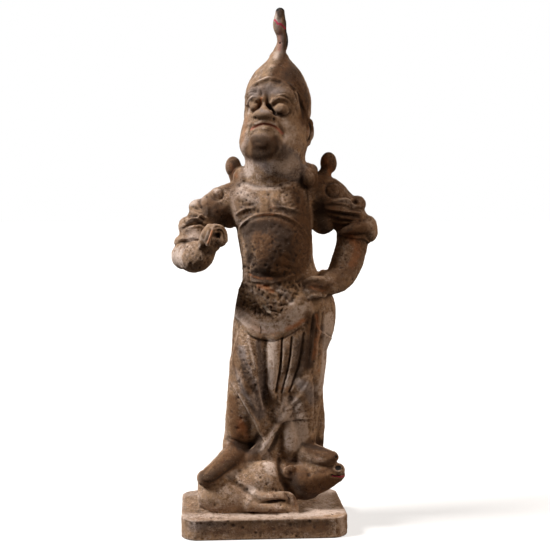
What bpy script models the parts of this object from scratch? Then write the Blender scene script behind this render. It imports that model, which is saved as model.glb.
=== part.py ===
"""Tomb guardian figure in fired clay: a soldier-like guardian with one hand on the hip and one fist raised,
standing on a crouching beast, all modelled in one piece with a low slab plinth.

Metres, +Z up. The origin is the middle of the plinth's underside and the guardian faces -Y.
"""

import math

import bmesh
import bpy
import numpy as np
from mathutils import Euler, Matrix, Vector

# Driving dimensions, in metres
FIGURE_HEIGHT = 0.768  # from the plinth's top to the tip of the crest
PLINTH_WIDTH = 0.251
PLINTH_DEPTH = 0.174
PLINTH_THICKNESS = 0.032
PLINTH_CORNER_CUT = 0.020
PLINTH_EDGE_ROUNDING = 0.0025

# How finely the lumps are fused, and how many triangles the finished figure keeps
FUSING_GRAIN = 0.0020
FIGURE_TRIANGLES = 9400

# The figure is modelled in 768ths of its height, counted up from the plinth's top
SHARE = FIGURE_HEIGHT / 768.0
FRONT = Matrix.Translation((0.0, 0.0, PLINTH_THICKNESS)) @ Matrix.Scale(SHARE, 4)
BACK = FRONT @ Matrix.Rotation(math.pi, 4, "Z")
LENGTHWISE = FRONT @ Matrix(((0, 0, 1, 0), (1, 0, 0, 0), (0, 1, 0, 0), (0, 0, 0, 1)))

# The face looks past the guardian's right shoulder, with the chin raised
FACE_MIDDLE = (20, 0, 590)
FACE_TURN = -18.0
FACE_TIP = -9.0
FACE_LEAN = 4.0
FACE_SPIN = Euler([math.radians(a) for a in (FACE_TIP, FACE_LEAN, FACE_TURN)]).to_matrix().to_4x4()
FACE = FRONT @ Matrix.Translation(FACE_MIDDLE) @ FACE_SPIN


# Lumps and rolls of clay


def smooth_rows(rows, steps=5):
    """Rows of numbers joined by a smooth curve that passes through each row."""
    rows = np.array(rows, float)
    padded = np.vstack([2 * rows[0] - rows[1], rows, 2 * rows[-1] - rows[-2]])
    t = np.linspace(0.0, 1.0, steps, endpoint=False)[:, None]
    found = []
    for a, b, c, d in zip(padded, padded[1:], padded[2:], padded[3:]):
        bend = (2 * a - 5 * b + 4 * c - d) * t**2 + (3 * b - a - 3 * c + d) * t**3
        found.append(0.5 * (2 * b + (c - a) * t + bend))
    return np.vstack([*found, rows[-1:]])


def keep(clay, shape):
    """The shape is put with the other lumps, to be fused later."""
    mesh = bpy.data.meshes.new("lump")
    shape.to_mesh(mesh)
    shape.free()
    clay.append(mesh)


def lump(clay, at, radii, turn=(0, 0, 0), frame=FRONT):
    """A ball of clay pressed to three radii and turned by degrees about X, Y and Z."""
    spin = Euler([math.radians(a) for a in turn]).to_matrix().to_4x4()
    matrix = frame @ Matrix.Translation(at) @ spin @ Matrix.Diagonal((*radii, 1.0))
    ball = bmesh.new()
    bmesh.ops.create_uvsphere(ball, u_segments=28, v_segments=18, radius=1.0, matrix=matrix)
    keep(clay, ball)


def roll(clay, path, frame=FRONT):
    """A roll of clay along a path of (x, y, z, radius), with round ends."""
    track = bpy.data.curves.new("roll", "CURVE")
    track.dimensions = "3D"
    track.bevel_depth = SHARE
    track.bevel_resolution = 5
    track.use_fill_caps = True
    rows = smooth_rows(path)
    line = track.splines.new("POLY")
    line.points.add(len(rows) - 1)
    for point, (x, y, z, radius) in zip(line.points, rows):
        point.co = (*(frame @ Vector((x, y, z))), 1.0)
        point.radius = max(radius, 0.1)
    holder = bpy.data.objects.new("roll", track)
    clay.append(bpy.data.meshes.new_from_object(holder))
    bpy.data.objects.remove(holder)
    for x, y, z, radius in (path[0], path[-1]):
        lump(clay, (x, y, z), (radius, radius, radius), frame=frame)


def loft(clay, sections, frame=FRONT, sides=40):
    """A closed skin through ovals (height, middle x, middle y, half width, half depth) up the frame's Z."""
    skin = bmesh.new()
    turns = [2 * math.pi * i / sides for i in range(sides)]
    rings = []
    for height, middle_x, middle_y, half_width, half_depth in smooth_rows(sections):
        middle = Vector((middle_x, middle_y, height))
        oval = [middle + Vector((half_width * math.cos(a), half_depth * math.sin(a), 0)) for a in turns]
        rings.append([skin.verts.new(frame @ spot) for spot in oval])
    for low, high in zip(rings, rings[1:]):
        for i in range(sides):
            j = (i + 1) % sides
            skin.faces.new((low[i], low[j], high[j], high[i]))
    skin.faces.new(rings[0][::-1])
    skin.faces.new(rings[-1])
    keep(clay, skin)


def fuse(clay, grain):
    """The lumps are pressed into one skin and stroked smooth."""
    together = bmesh.new()
    for mesh in clay:
        together.from_mesh(mesh)
        bpy.data.meshes.remove(mesh)
    mesh = bpy.data.meshes.new("clay")
    together.to_mesh(mesh)
    together.free()
    figure = bpy.data.objects.new("clay", mesh)
    bpy.context.scene.collection.objects.link(figure)
    fusing = figure.modifiers.new("fusing", "REMESH")
    fusing.mode = "VOXEL"
    fusing.voxel_size = grain
    stroking = figure.modifiers.new("stroking", "SMOOTH")
    stroking.factor = 0.5
    stroking.iterations = 3
    fused = bpy.data.meshes.new_from_object(figure.evaluated_get(bpy.context.evaluated_depsgraph_get()))
    bpy.data.objects.remove(figure)
    return fused


# Strokes of the modelling tool, drawn as (x, z, strength) on the view from the front of a frame


class Skin:
    """The fused clay's points, as the tool sees them from the front of a frame."""

    def __init__(self, mesh, frame, nearest=-72.0, farthest=60.0):
        self.mesh = mesh
        count = len(mesh.vertices)
        points = np.empty(count * 3, np.float32)
        mesh.vertices.foreach_get("co", points)
        normals = np.empty(count * 3, np.float32)
        mesh.vertex_normals.foreach_get("vector", normals)
        self.points = points.reshape(-1, 3).astype(float)
        self.normals = self.even(normals.reshape(-1, 3).astype(float), 6)
        self.normals /= np.linalg.norm(self.normals, axis=1)[:, None]
        inverse = np.array(frame.inverted())
        local = self.points @ inverse[:3, :3].T + inverse[:3, 3]
        toward = -(self.normals @ np.array(frame.to_3x3().normalized()))[:, 1]
        self.flat = local[:, (0, 2)]
        self.seen = np.clip((toward - 0.05) / 0.4, 0.0, 1.0)
        self.seen[(local[:, 1] < nearest) | (local[:, 1] > farthest)] = 0.0
        self.worked = np.zeros(count)

    def even(self, values, rounds):
        """Values at the points, averaged with their neighbours' a number of times."""
        edges = np.empty(len(self.mesh.edges) * 2, np.int32)
        self.mesh.edges.foreach_get("vertices", edges)
        left, right = edges.reshape(-1, 2).T
        count = len(values)
        neighbours = np.bincount(left, minlength=count) + np.bincount(right, minlength=count)
        for _ in range(rounds):
            total = values.copy()
            for column in range(values.shape[1]):
                total[:, column] += np.bincount(left, values[right, column], count)
                total[:, column] += np.bincount(right, values[left, column], count)
            values = total / (1 + neighbours)[:, None]
        return values

    def push(self, amount):
        """The points move out along their normals by an amount in shares of the height."""
        self.points += self.normals * (amount * self.seen * SHARE)[:, None]
        self.worked = np.maximum(self.worked, np.minimum(np.abs(amount * self.seen), 1.0))

    def done(self):
        """The worked places are wiped once with a wet finger, and the mesh takes the new points."""
        self.points += (self.even(self.points, 1) - self.points) * self.worked[:, None]
        self.mesh.vertices.foreach_set("co", self.points.astype(np.float32).ravel())
        self.mesh.update()

    def measure(self, path, reach):
        """Which points lie near a path, with their distance, their side and the stroke's strength."""
        rows = smooth_rows([(*p, 1.0) if len(p) == 2 else p for p in path])
        low = rows[:, :2].min(axis=0) - reach
        high = rows[:, :2].max(axis=0) + reach
        boxed = (self.flat > low).all(axis=1) & (self.flat < high).all(axis=1)
        near = np.flatnonzero((self.seen > 0) & boxed)
        start = rows[:-1, :2]
        run = rows[1:, :2] - start
        gap = self.flat[near][:, None] - start
        t = np.clip((gap * run).sum(axis=2) / np.maximum((run**2).sum(axis=1), 1e-9), 0.0, 1.0)
        off = gap - t[..., None] * run
        distance = np.hypot(off[..., 0], off[..., 1])
        best = distance.argmin(axis=1)
        pick = (np.arange(len(near)), best)
        side = np.sign(run[best, 0] * off[pick][:, 1] - run[best, 1] * off[pick][:, 0])
        strength = rows[best, 2] + t[pick] * (rows[best + 1, 2] - rows[best, 2])
        return near, distance[pick], side, strength

    def ridge(self, path, width, height):
        """A rounded ridge along a path, or a groove where the height is below zero."""
        near, distance, _, strength = self.measure(path, 3 * width)
        amount = np.zeros(len(self.flat))
        amount[near] = height * strength * np.exp(-((distance / width) ** 2))
        self.push(amount)

    def hem(self, path, fade, height, edge=2.5):
        """An edge of cloth or plate: raised to the left of the path, fading back into the surface."""
        near, distance, side, strength = self.measure(path, 3 * fade)
        across = distance * side
        rise = np.clip(across / edge + 0.5, 0.0, 1.0)
        amount = np.zeros(len(self.flat))
        step = rise * rise * (3 - 2 * rise)
        amount[near] = height * strength * step * np.exp(-np.maximum(across, 0) / fade)
        self.push(amount)

    def plate(self, outline, height, edge=3.0):
        """An area inside a closed outline, raised or sunk by a height with a soft edge."""
        rows = smooth_rows([*outline, outline[0]])
        inside = np.zeros(len(self.flat), bool)
        x, z = self.flat.T
        for (x0, z0), (x1, z1) in zip(rows, rows[1:]):
            crossing = (z0 > z) != (z1 > z)
            inside ^= crossing & (x < x0 + (z - z0) * (x1 - x0) / (z1 - z0 if z1 != z0 else 1.0))
        near, distance, _, _ = self.measure([*outline, outline[0]], 3 * edge)
        depth = np.where(inside, edge, -edge)
        depth[near] = np.clip(distance, 0, edge) * np.where(inside[near], 1, -1)
        rise = np.clip(depth / edge * 0.5 + 0.5, 0.0, 1.0)
        self.push(height * rise * rise * (3 - 2 * rise))


def ring(middle_x, middle_z, radius, squash=1.0):
    """The points of a circle for a stroke."""
    turns = [2 * math.pi * i / 10 for i in range(11)]
    return [(middle_x + radius * math.cos(a), middle_z + squash * radius * math.sin(a)) for a in turns]


# The beast underfoot


def model_beast(clay):
    loft(
        clay,
        [
            (-101, -8, 20, 14, 18),
            (-95, -10, 23, 34, 27),
            (-60, -12, 29, 46, 34),
            (-20, -10, 34, 46, 40),
            (15, -8, 38, 44, 42),
            (42, -8, 38, 34, 38),
            (56, -10, 38, 26, 30),
        ],
        LENGTHWISE,
    )
    lump(clay, (-52, -45, 22), (50, 20, 28), (0, 5, 4))
    lump(clay, (-84, -38, 32), (17, 18, 18))
    lump(clay, (2, -34, 44), (34, 24, 32))
    lump(clay, (8, -48, 14), (38, 14, 18))
    shin = [(-18, -54, 26, 10), (8, -58, 26, 7), (26, -58, 27, 6.5), (38, -57, 24, 7), (44, -55, 14, 7)]
    roll(clay, [*shin, (46, -54, 5, 7)])
    roll(clay, [(44, -57, 4, 7), (24, -59, 9, 8), (0, -58, 11, 9), (-24, -56, 14, 11)])
    lump(clay, (54, -18, 42), (30, 30, 30))
    lump(clay, (66, -30, 46), (30, 26, 25), (0, 16, 0))
    lump(clay, (64, -28, 30), (26, 22, 18))
    roll(clay, [(72, -34, 48, 22), (92, -39, 53, 17), (108, -43, 56, 12), (115, -44, 55, 10)])
    roll(clay, [(72, -34, 36, 17), (88, -38, 40, 15), (104, -42, 46, 11), (114, -43, 50, 8)])
    lump(clay, (113, -43, 61), (12, 12, 11))
    lump(clay, (37, -43, 60), (8, 7, 10), (0, 20, 0))
    lump(clay, (45, -46, 64), (7, 7, 6))


def carve_beast(mesh):
    skin = Skin(mesh, FRONT, nearest=-90, farthest=10)
    skin.ridge([(-58, 57, 0.4), (-36, 42), (-22, 32), (-12, 22, 0.4)], 4.5, -4.0)
    skin.ridge([(24, 74), (27, 50), (34, 36), (37, 22)], 4.0, -5.0)
    skin.ridge([(-8, 18, 0.2), (8, 18.5), (24, 18.5), (31, 18, 0.8)], 2.2, -6.0)
    skin.plate(ring(36, 60, 3.5, 1.5), -2.5, 2.0)
    skin.ridge([(104, 55), (113, 52), (124, 54)], 2.0, -3.6)
    skin.ridge(ring(113, 67, 6.0, 0.85), 1.6, 2.0)
    skin.plate(ring(113, 67, 3.0, 0.85), -2.0, 1.5)
    skin.plate(ring(69, 57, 3), -2.5, 2.0)
    skin.ridge([(56, 66), (70, 62), (84, 60), (98, 62, 0.4)], 3.0, -1.8)
    skin.done()


# Boots, legs and skirt


def model_boots(clay):
    left_foot = [(-30, 0, 84, 23), (-46, -16, 77, 21), (-67, -38, 64, 18), (-83, -52, 57, 15)]
    roll(clay, [*left_foot, (-90, -55, 55, 12.5)])
    lump(clay, (-46, -14, 66), (26, 28, 16), (0, -28, 28))
    right_foot = [(50, 0, 90, 20), (66, -20, 86, 18), (88, -38, 84, 14), (101, -45, 84, 10.5)]
    roll(clay, [*right_foot, (104, -46, 84, 9)])
    loft(
        clay,
        [
            (70, -40, -2, 22, 26),
            (95, -39, -2, 23, 26),
            (115, -36, -4, 23, 28),
            (145, -33, -7, 25, 32),
            (180, -30, -8, 26, 35),
            (230, -22, -6, 30, 38),
        ],
    )
    loft(
        clay,
        [
            (76, 58, -4, 24, 25),
            (110, 60, -6, 24, 28),
            (136, 60, -8, 27, 31),
            (180, 60, -8, 32, 37),
            (230, 56, -8, 36, 40),
        ],
    )


def model_skirt(clay):
    loft(
        clay,
        [
            (60, 16, 22, 56, 20),
            (120, 20, 22, 72, 26),
            (178, 20, 12, 72, 36),
            (205, 22, 8, 74, 43),
            (240, 27, 4, 76, 48),
            (268, 32.5, 2, 80, 52),
            (298, 36, 2, 80.5, 55),
            (325, 36, 1, 75, 53),
            (348, 31, 0, 63, 48),
        ],
    )
    lump(clay, (-18, -20, 222), (30, 36, 92), (0, 4, 0))
    lump(clay, (-12, -18, 172), (26, 24, 56), (0, 16, 0))
    lump(clay, (2, -16, 142), (22, 22, 46), (0, 34, 0))
    lump(clay, (60, -18, 218), (36, 37, 84))
    lump(clay, (10, -8, 112), (30, 25, 62))
    lump(clay, (4, -14, 150), (26, 26, 44), (0, 14, 0))
    loft(
        clay,
        [
            (140, 26, -26, 10, 12),
            (168, 26, -28, 17, 17),
            (188, 28, -30, 22, 19),
            (226, 36, -30, 30, 23),
            (262, 41, -30, 36, 23),
            (292, 43, -26, 37, 20),
        ],
    )
    roll(clay, [(90, 4, 270, 12), (92, 4, 225, 11), (88, 4, 180, 9), (90, 4, 130, 9), (88, 4, 84, 9)])
    # The hanging pleats at the middle, gathered at a knot below the knees
    thick_pleat = [(15, -30, 290, 8), (15, -42, 260, 12), (15, -45, 228, 11.5), (14, -43, 190, 8)]
    roll(clay, [*thick_pleat, (18, -40, 170, 4)])
    roll(clay, [(35, -38, 288, 5), (34, -48, 260, 6), (30, -49, 226, 5.5), (23, -44, 186, 4.5)])
    roll(clay, [(51, -38, 290, 6), (51, -47, 262, 8), (44, -49, 228, 7.5), (32, -45, 186, 5)])
    roll(clay, [(68, -34, 294, 6), (67, -42, 270, 7.5), (59, -46, 236, 7.5), (43, -46, 188, 5)])
    fold = [(42, -34, 160, 6), (24, -34, 139, 7), (9, -35, 114, 7), (-6, -33, 92, 9), (-20, -26, 74, 12)]
    roll(clay, [*fold, (-30, -14, 60, 14)])
    hem = [(-53, -18, 203, 3), (-46, -35, 191, 3.5), (-36, -41, 177, 4), (-22, -38, 150, 4.5)]
    roll(clay, [*hem, (-9, -33, 128, 5), (1, -30, 110, 4)])
    lump(clay, (26, -31, 160), (22, 13, 26))
    lump(clay, (0, -24, 216), (16, 14, 62))
    lump(clay, (42, -15, 118), (19, 24, 50))


def carve_skirt(mesh):
    skin = Skin(mesh, FRONT)
    skin.ridge([(-3, 262, 0.7), (-5, 230), (-4, 196), (2, 166), (8, 140, 0.6)], 6.0, -3.0)
    skin.ridge([(27, 266), (25, 226), (18, 184)], 1.8, -2.8)
    skin.ridge([(42, 268), (37, 226), (27, 184)], 1.8, -2.8)
    skin.ridge([(60, 274), (52, 228), (38, 184)], 2.0, -2.4)
    skin.ridge([(10, 184, 0.5), (22, 170), (38, 158)], 2.8, 2.2)
    skin.ridge([(40, 186, 0.5), (32, 170), (18, 146)], 2.8, 2.2)
    skin.ridge([(26, 182, 0.5), (27, 166), (30, 150, 0.5)], 2.4, -2.0)
    for lean in (0, 8, 17):
        skin.ridge([(74 + lean, 302, 0.6), (71 + lean, 262), (65 + lean, 214, 0.3)], 2.8, -3.6)
    skin.ridge([(74, 214, 0.4), (80, 184), (82, 150), (80, 120)], 4.0, -6.0)
    skin.ridge([(34, 156), (52, 176), (66, 196), (78, 214, 0.5)], 3.0, 2.6)
    skin.ridge([(44, 150), (58, 166), (70, 178, 0.4)], 3.0, 2.2)
    skin.ridge([(-23, 268, 0.6), (-18, 244), (-13, 222)], 2.8, 2.8)
    skin.ridge([(-12, 204), (-8, 180), (-2, 158)], 2.8, 2.6)
    skin.ridge([(-40, 244, 0.4), (-35, 215), (-25, 186), (-13, 158)], 3.5, 2.6)
    skin.hem([(-54, 204, 0.4), (-35, 177), (-21, 150), (-9, 126), (-2, 112, 0.6)], 24.0, 4.0, 6.0)
    skin.hem([(36, 137, 0.5), (52, 140), (72, 139, 0.5)], 14.0, 3.4)
    skin.ridge([(-62, 98, 0.5), (-42, 94), (-20, 97, 0.5)], 3.4, -1.8)
    skin.done()


# Body armour, belt and apron


def model_torso(clay):
    loft(
        clay,
        [
            (325, 36, 0, 72, 52),
            (352, 31, -3, 62, 50),
            (376, 25, -5, 56, 51),
            (405, 22, -6, 57, 53),
            (437, 19, -4, 59, 52),
            (468, 16, 0, 62, 49),
            (488, 14, 3, 62, 45),
            (504, 16, 5, 54, 42),
            (516, 19, 4, 46, 40),
        ],
    )
    lump(clay, (-22, -18, 466), (28, 25, 38))
    lump(clay, (38, -19, 466), (29, 25, 38))
    lump(clay, (18, -26, 402), (48, 37, 58))


def carve_torso(mesh):
    skin = Skin(mesh, FRONT)
    left_rim = [(-37, 412), (-34, 436), (-18, 450), (5, 455)]
    right_rim = [(28, 452), (51, 440), (66, 421), (70, 402), (66, 378)]
    lower_rim = [(56, 364), (38, 358), (14, 350), (-12, 350), (-25, 352), (-32, 378)]
    skin.plate([*left_rim, *right_rim, *lower_rim], 2.8)
    skin.ridge([*left_rim, *right_rim], 2.6, 2.6)
    skin.ridge([(-24, 352, 0.5), (-8, 352), (18, 352), (41, 361), (58, 370, 0.5)], 3.0, 2.8)
    skin.ridge([(-17, 392, 0.5), (-23, 374), (-21, 350)], 3.0, -3.0)
    skin.ridge([(-8, 493), (-8, 456)], 2.2, -2.8)
    skin.ridge([(11, 493), (10, 456)], 2.2, -2.8)
    skin.ridge(ring(39, 478, 14), 2.2, -1.6)
    skin.ridge(ring(-24, 479, 12), 2.2, -1.0)
    skin.ridge([(-41, 454), (-28, 462), (-15, 463)], 2.6, 3.0)
    skin.ridge([(14, 465), (33, 464), (54, 457)], 2.6, 3.0)
    skin.hem([(70, 492), (72, 467), (74, 441), (76, 418)], 8.0, 3.6)
    skin.hem([(42, 504), (24, 498), (6, 496), (-11, 498), (-29, 505)], 8.0, -3.6)
    skin.done()


def carve_waist(mesh):
    skin = Skin(mesh, FRONT)
    upper = [(-41, 326), (-27, 306), (-8, 297), (12, 297), (28, 305), (43, 318), (60, 334)]
    lower = [(76, 310), (69, 299), (51, 282), (33, 271), (10, 265), (-13, 268), (-31, 284), (-44, 306)]
    skin.plate([(-34, 346), (6, 348), (50, 354), (48, 328), (28, 311), (-4, 300), (-32, 318)], -4.5)
    skin.plate([*upper, *lower], 4.5, 4.0)
    skin.ridge([(-5, 282), (-5, 275)], 1.1, -1.4)
    for bump in range(14):
        x, z = -32 + 6 * bump, 339 - 10 * (bump % 3) - 4 * (bump % 2)
        skin.ridge([(x, z, 0.5), (x + 8, z - 6 + 9 * (bump % 2))], 3.0, 4.2)
    skin.hem([(104, 264), (96, 270), (84, 280), (78, 300)], 10.0, 3.0)
    skin.done()


# Arms, sleeves and hands


def model_raised_arm(clay):
    upper_arm = [(-30, 4, 474, 33), (-60, 2, 465, 31), (-82, -2, 452, 27), (-98, -8, 433, 24.5)]
    roll(clay, [*upper_arm, (-108, -14, 408, 23.5)])
    lump(clay, (-69, -16, 485), (12, 11, 10), (0, -25, 0))
    lump(clay, (-50, 2, 446), (14, 17, 14))
    lump(clay, (-98, -6, 463), (15, 16, 14))
    lump(clay, (-109, -14, 434), (20, 21, 18))
    lump(clay, (-127, -12, 411), (9.5, 12, 10))
    lump(clay, (-121.5, -18, 390), (18, 18, 20.5))
    forearm = [(-112, -26, 390, 22), (-103, -48, 390, 24), (-93, -66, 396.5, 20.5), (-85, -78, 406, 15)]
    roll(clay, [*forearm, (-79, -86, 412, 14)])
    # The fist closes round a shaft that is lost, with the thumb over the fingers
    lump(clay, (-78, -89, 421.5), (15.5, 14, 16), (0, -30, 0))
    lump(clay, (-67, -92, 416.5), (10, 12, 10.5))
    roll(clay, [(-94, -90, 409, 6), (-90, -97, 423, 6.5), (-82, -99, 435, 6)])
    roll(clay, [(-85, -101, 412, 5), (-81, -105, 422, 5.5), (-76, -103, 433, 5)])
    roll(clay, [(-75, -99, 436, 5), (-66, -100, 434, 5), (-62, -97, 427, 5.5), (-61, -95, 417, 6)])


def model_arm_on_hip(clay):
    roll(clay, [(62, 6, 486, 28), (95, 8, 481, 34), (122, 12, 462, 30), (141, 13, 441, 27.5)])
    lump(clay, (95, 6, 449), (23, 20, 27))
    lump(clay, (107, -16, 489), (15, 12, 14))
    lump(clay, (147, 8, 467), (14, 17, 13))
    lump(clay, (168, 6, 431), (13.5, 19, 21), (0, -8, 0))
    roll(clay, [(120, -10, 426, 3), (130, -18, 430, 6), (145, -17, 432, 8), (162, -8, 434, 9)])
    forearm = [(144, 12, 430, 26), (141, 9, 404, 25), (131, 2, 378, 25), (116, -14, 355, 20.5)]
    roll(clay, [*forearm, (99, -32, 347, 18)])
    lump(clay, (88, -40, 345), (19, 13, 15))
    lump(clay, (96, -18, 354), (15, 14, 14))
    lump(clay, (72, -40, 340), (18, 12, 17))
    for finger in range(4):
        z = 356 - 8 * finger
        roll(clay, [(90, -46, z - 1, 5), (76, -50, z, 4.8), (64 + 2 * finger, -49, z - 3, 4.2)])


def carve_arms(mesh):
    skin = Skin(mesh, FRONT, nearest=-60)
    skin.ridge(ring(108, 491, 12), 2.2, -2.6)
    skin.ridge([(94, 470, 0.4), (117, 476), (131, 475), (142, 466), (150, 466)], 2.8, 4.0)
    skin.ridge([(96, 463, 0.4), (123, 459), (150, 454)], 2.8, 4.0)
    skin.ridge([(102, 453, 0.4), (128, 448), (152, 443)], 2.6, 3.6)
    skin.ridge([(104, 445, 0.4), (126, 440), (146, 441)], 2.4, 3.0)
    skin.plate([(136, 472), (143, 476), (147, 472), (141, 468)], -4.0, 2.5)
    skin.hem([(116, 424), (137, 417), (158, 414), (166, 408)], 8.0, 3.0)
    skin.ridge(ring(-70, 485, 10), 2.4, -1.6)
    skin.ridge([(-124, 430, 0.4), (-114, 437), (-98, 440), (-88, 436)], 2.4, -3.4)
    skin.ridge([(-120, 446, 0.4), (-104, 446), (-92, 452)], 2.6, 2.6)
    skin.ridge([(-112, 458, 0.4), (-100, 452), (-86, 446)], 2.6, 2.4)
    skin.hem([(-134, 408), (-120, 415), (-104, 414), (-94, 415)], 8.0, 3.0)
    skin.ridge([(-120, 409, 0.6), (-123, 396), (-121, 385), (-110, 372), (-96, 367, 0.4)], 2.4, -4.0)
    skin.done()
    fist = Skin(mesh, FRONT, nearest=-120)
    fist.plate(ring(-72, 425, 3), -6.0, 2.5)
    fist.done()


# Head, cap and crest


def model_head(clay):
    loft(
        clay,
        [
            (496, 18, 2, 44, 38),
            (510, 20, 0, 46, 46),
            (525, 20, -2, 46, 50),
            (543, 19.5, -4, 47, 54),
            (561, 17.5, -4, 52.5, 55),
            (580, 18.5, -3, 51, 53),
            (598, 21.5, 1, 49.5, 51),
            (617, 25, 3, 50.5, 51),
            (634, 25, 4, 50, 51),
            (653, 24, 4, 45, 48),
            (671, 24.5, 4, 35.5, 39),
            (680, 25.5, 3, 27, 31),
            (689, 26, 2, 18, 22),
            (699, 25, 1, 9.5, 11),
        ],
    )
    lump(clay, (57, 8, 612), (19, 24, 22))
    brim = [(-22, -19, 634, 2), (-10, -32, 648, 2.4), (12, -39, 657, 2.8), (31, -40, 657, 3)]
    roll(clay, [*brim, (47, -34, 646, 3), (60, -23, 624, 3), (67, -12, 604, 2.5)])
    # The brow, eyes, nose, mouth and chin are laid on in the face's own frame
    lump(clay, (-1, -33, 50), (37, 19, 24), frame=FACE)
    lump(clay, (0, -34, -42), (34, 20, 24), frame=FACE)
    lump(clay, (-3, -43, -34), (25, 15, 17), frame=FACE)
    lump(clay, (-1, -46, -9), (26, 12, 11), frame=FACE)
    lump(clay, (-5, -48, 13), (7, 12, 18), frame=FACE)
    roll(clay, [(-7, -50, 30, 3), (-6.5, -54, 21, 3.4), (-4.5, -58, 9, 7)], FACE)
    lump(clay, (-3.5, -58, 3), (15.5, 10, 8.5), frame=FACE)
    for side in (-1, 1):
        brow = [(4, -50, 28, 4.5), (11, -51, 33, 7.5), (21, -49, 36.5, 9.5), (31, -42, 32, 8.5)]
        roll(clay, [(side * x, *rest) for x, *rest in (*brow, (38, -32, 24, 5))], FACE)
        lump(clay, (side * 18, -32, 46), (18, 18, 15), frame=FACE)
        lump(clay, (side * 20, -43, 20), (13, 11, 11), (0, 0, side * 18), FACE)
        lump(clay, (side * 20, -47, 13.5), (10.5, 12, 9.5), (0, 0, side * 18), FACE)
        lump(clay, (side * 14 - 2.5, -51, 1), (7, 8, 6), frame=FACE)
        lump(clay, (side * 22, -22, -8), (22, 24, 30), frame=FACE)
        lump(clay, (side * 19, -19, -32), (28, 31, 32), frame=FACE)
    lump(clay, (-25, -16, 6), (14, 20, 24), frame=FACE)
    upper_lip = [(-26, -41, -17, 3.4), (-14, -52, -11.5, 4), (-1, -56, -8, 4.6), (14, -51, -12, 4)]
    roll(clay, [*upper_lip, (26, -40, -20, 3.4)], FACE)
    roll(clay, [(-21, -44, -24, 3.4), (-1, -54, -18.5, 4.8), (20, -43, -27, 3.4)], FACE)
    lump(clay, (71.5, -8, 583), (8, 10, 18), (0, -6, -20))
    lump(clay, (69.5, -8, 570), (6, 8, 12), (0, -6, -20))
    lump(clay, (-26, 24, 574), (6, 9, 19))


def carve_face(mesh):
    skin = Skin(mesh, FACE, nearest=-90)
    skin.ridge([(-2.5, 29, 0.4), (-1.5, 23), (3, 16, 1.3), (10, 8, 1.3), (19, 4), (28, 7), (34, 14, 0.4)], 2.2, -4.0)
    skin.ridge([(-10.5, 29, 0.4), (-11, 22), (-13, 15), (-19, 7), (-26, 6), (-33, 12, 0.4)], 2.2, -3.6)
    for side in (-1, 1):
        crease = [(7, 19, 0.4), (12, 24), (20, 26.5), (28, 24), (35, 17, 0.5)]
        skin.ridge([(side * x, *rest) for x, *rest in crease], 2.0, -2.0)
        skin.plate(ring(side * 14 - 2, -3.5, 2.0), -3.0, 2.0)
    skin.ridge([(17, -2, 0.5), (20, -10), (25, -20), (30, -32, 0.5)], 3.0, -3.0)
    skin.ridge([(-20, -3, 0.5), (-25, -12), (-27, -22, 0.4)], 2.6, -2.2)
    skin.ridge([(-25, -20, 0.5), (-14, -15.5), (-1, -13), (14, -15.5), (26, -23, 0.6)], 1.8, -3.0)
    skin.ridge([(-17, -43, 0.5), (-9, -39), (0, -42, 0.5)], 2.2, -1.8)
    skin.done()


def carve_ear(mesh):
    skin = Skin(mesh, FRONT)
    skin.ridge([(75, 593, 0.5), (78, 584), (77, 573), (72, 565, 0.5)], 2.4, -4.0)
    skin.done()


def model_crest(clay):
    roll(
        clay,
        [
            (26, 1, 690, 15.5),
            (26, 0, 699, 10.5),
            (29, -2, 708, 8.5),
            (30.5, -3, 717, 7.5),
            (30, -4, 726, 7.5),
            (28, -5, 735, 9.5),
            (27, -5, 744, 10),
            (27, -5, 753, 8.5),
            (27.5, -5, 761, 7),
        ],
    )
    roll(clay, [(35, 0, 735, 3), (37, 1, 724, 3), (37, 2, 712, 3), (34, 2, 702, 3)])


def carve_cap(mesh):
    """The cap's brim runs over the brow, down in front of the ears and low round the nape."""
    skin = Skin(mesh, FRONT)
    local = (skin.points - np.array(FRONT @ Vector(FACE_MIDDLE))) / SHARE
    around = np.arctan2(local[:, 0], -local[:, 1]) - math.radians(FACE_TURN)
    brim = 60 - 38 * (1 - np.cos(around)) - 14 * np.maximum(-np.cos(2 * around), 0)
    above = local[:, 2] - brim
    rise = np.clip(above / 5.0 + 0.5, 0.0, 1.0)
    skin.seen[:] = np.hypot(local[:, 0], local[:, 1]) < 62
    skin.push(2.0 * rise * rise * (3 - 2 * rise) * np.exp(-np.maximum(above, 0) / 50.0))
    skin.done()
    front = Skin(mesh, FACE, nearest=-90)
    front.ridge([(-2, 64, 0.6), (-1, 78), (3, 96)], 5.0, 5.5)
    front.done()


def model_shoulders(clay):
    lump(clay, (-44, 15, 527), (12.5, 12, 16))
    roll(clay, [(-42, 14, 514, 9), (-34, 10, 500, 14)])
    lump(clay, (105, 15, 533), (13, 12, 17))
    roll(clay, [(100, 14, 518, 10), (90, 10, 500, 15)])
    roll(clay, [(52, 18, 520, 10), (66, 2, 522, 12), (74, -10, 519, 12)])
    lump(clay, (66, -20, 511), (18, 15, 14), (0, 35, 0))
    lump(clay, (73, -26, 505), (10, 9, 12), (0, 20, 0))
    roll(clay, [(-22, 18, 518, 11), (-32, 0, 512, 12), (-34, -18, 500, 10)])


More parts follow.
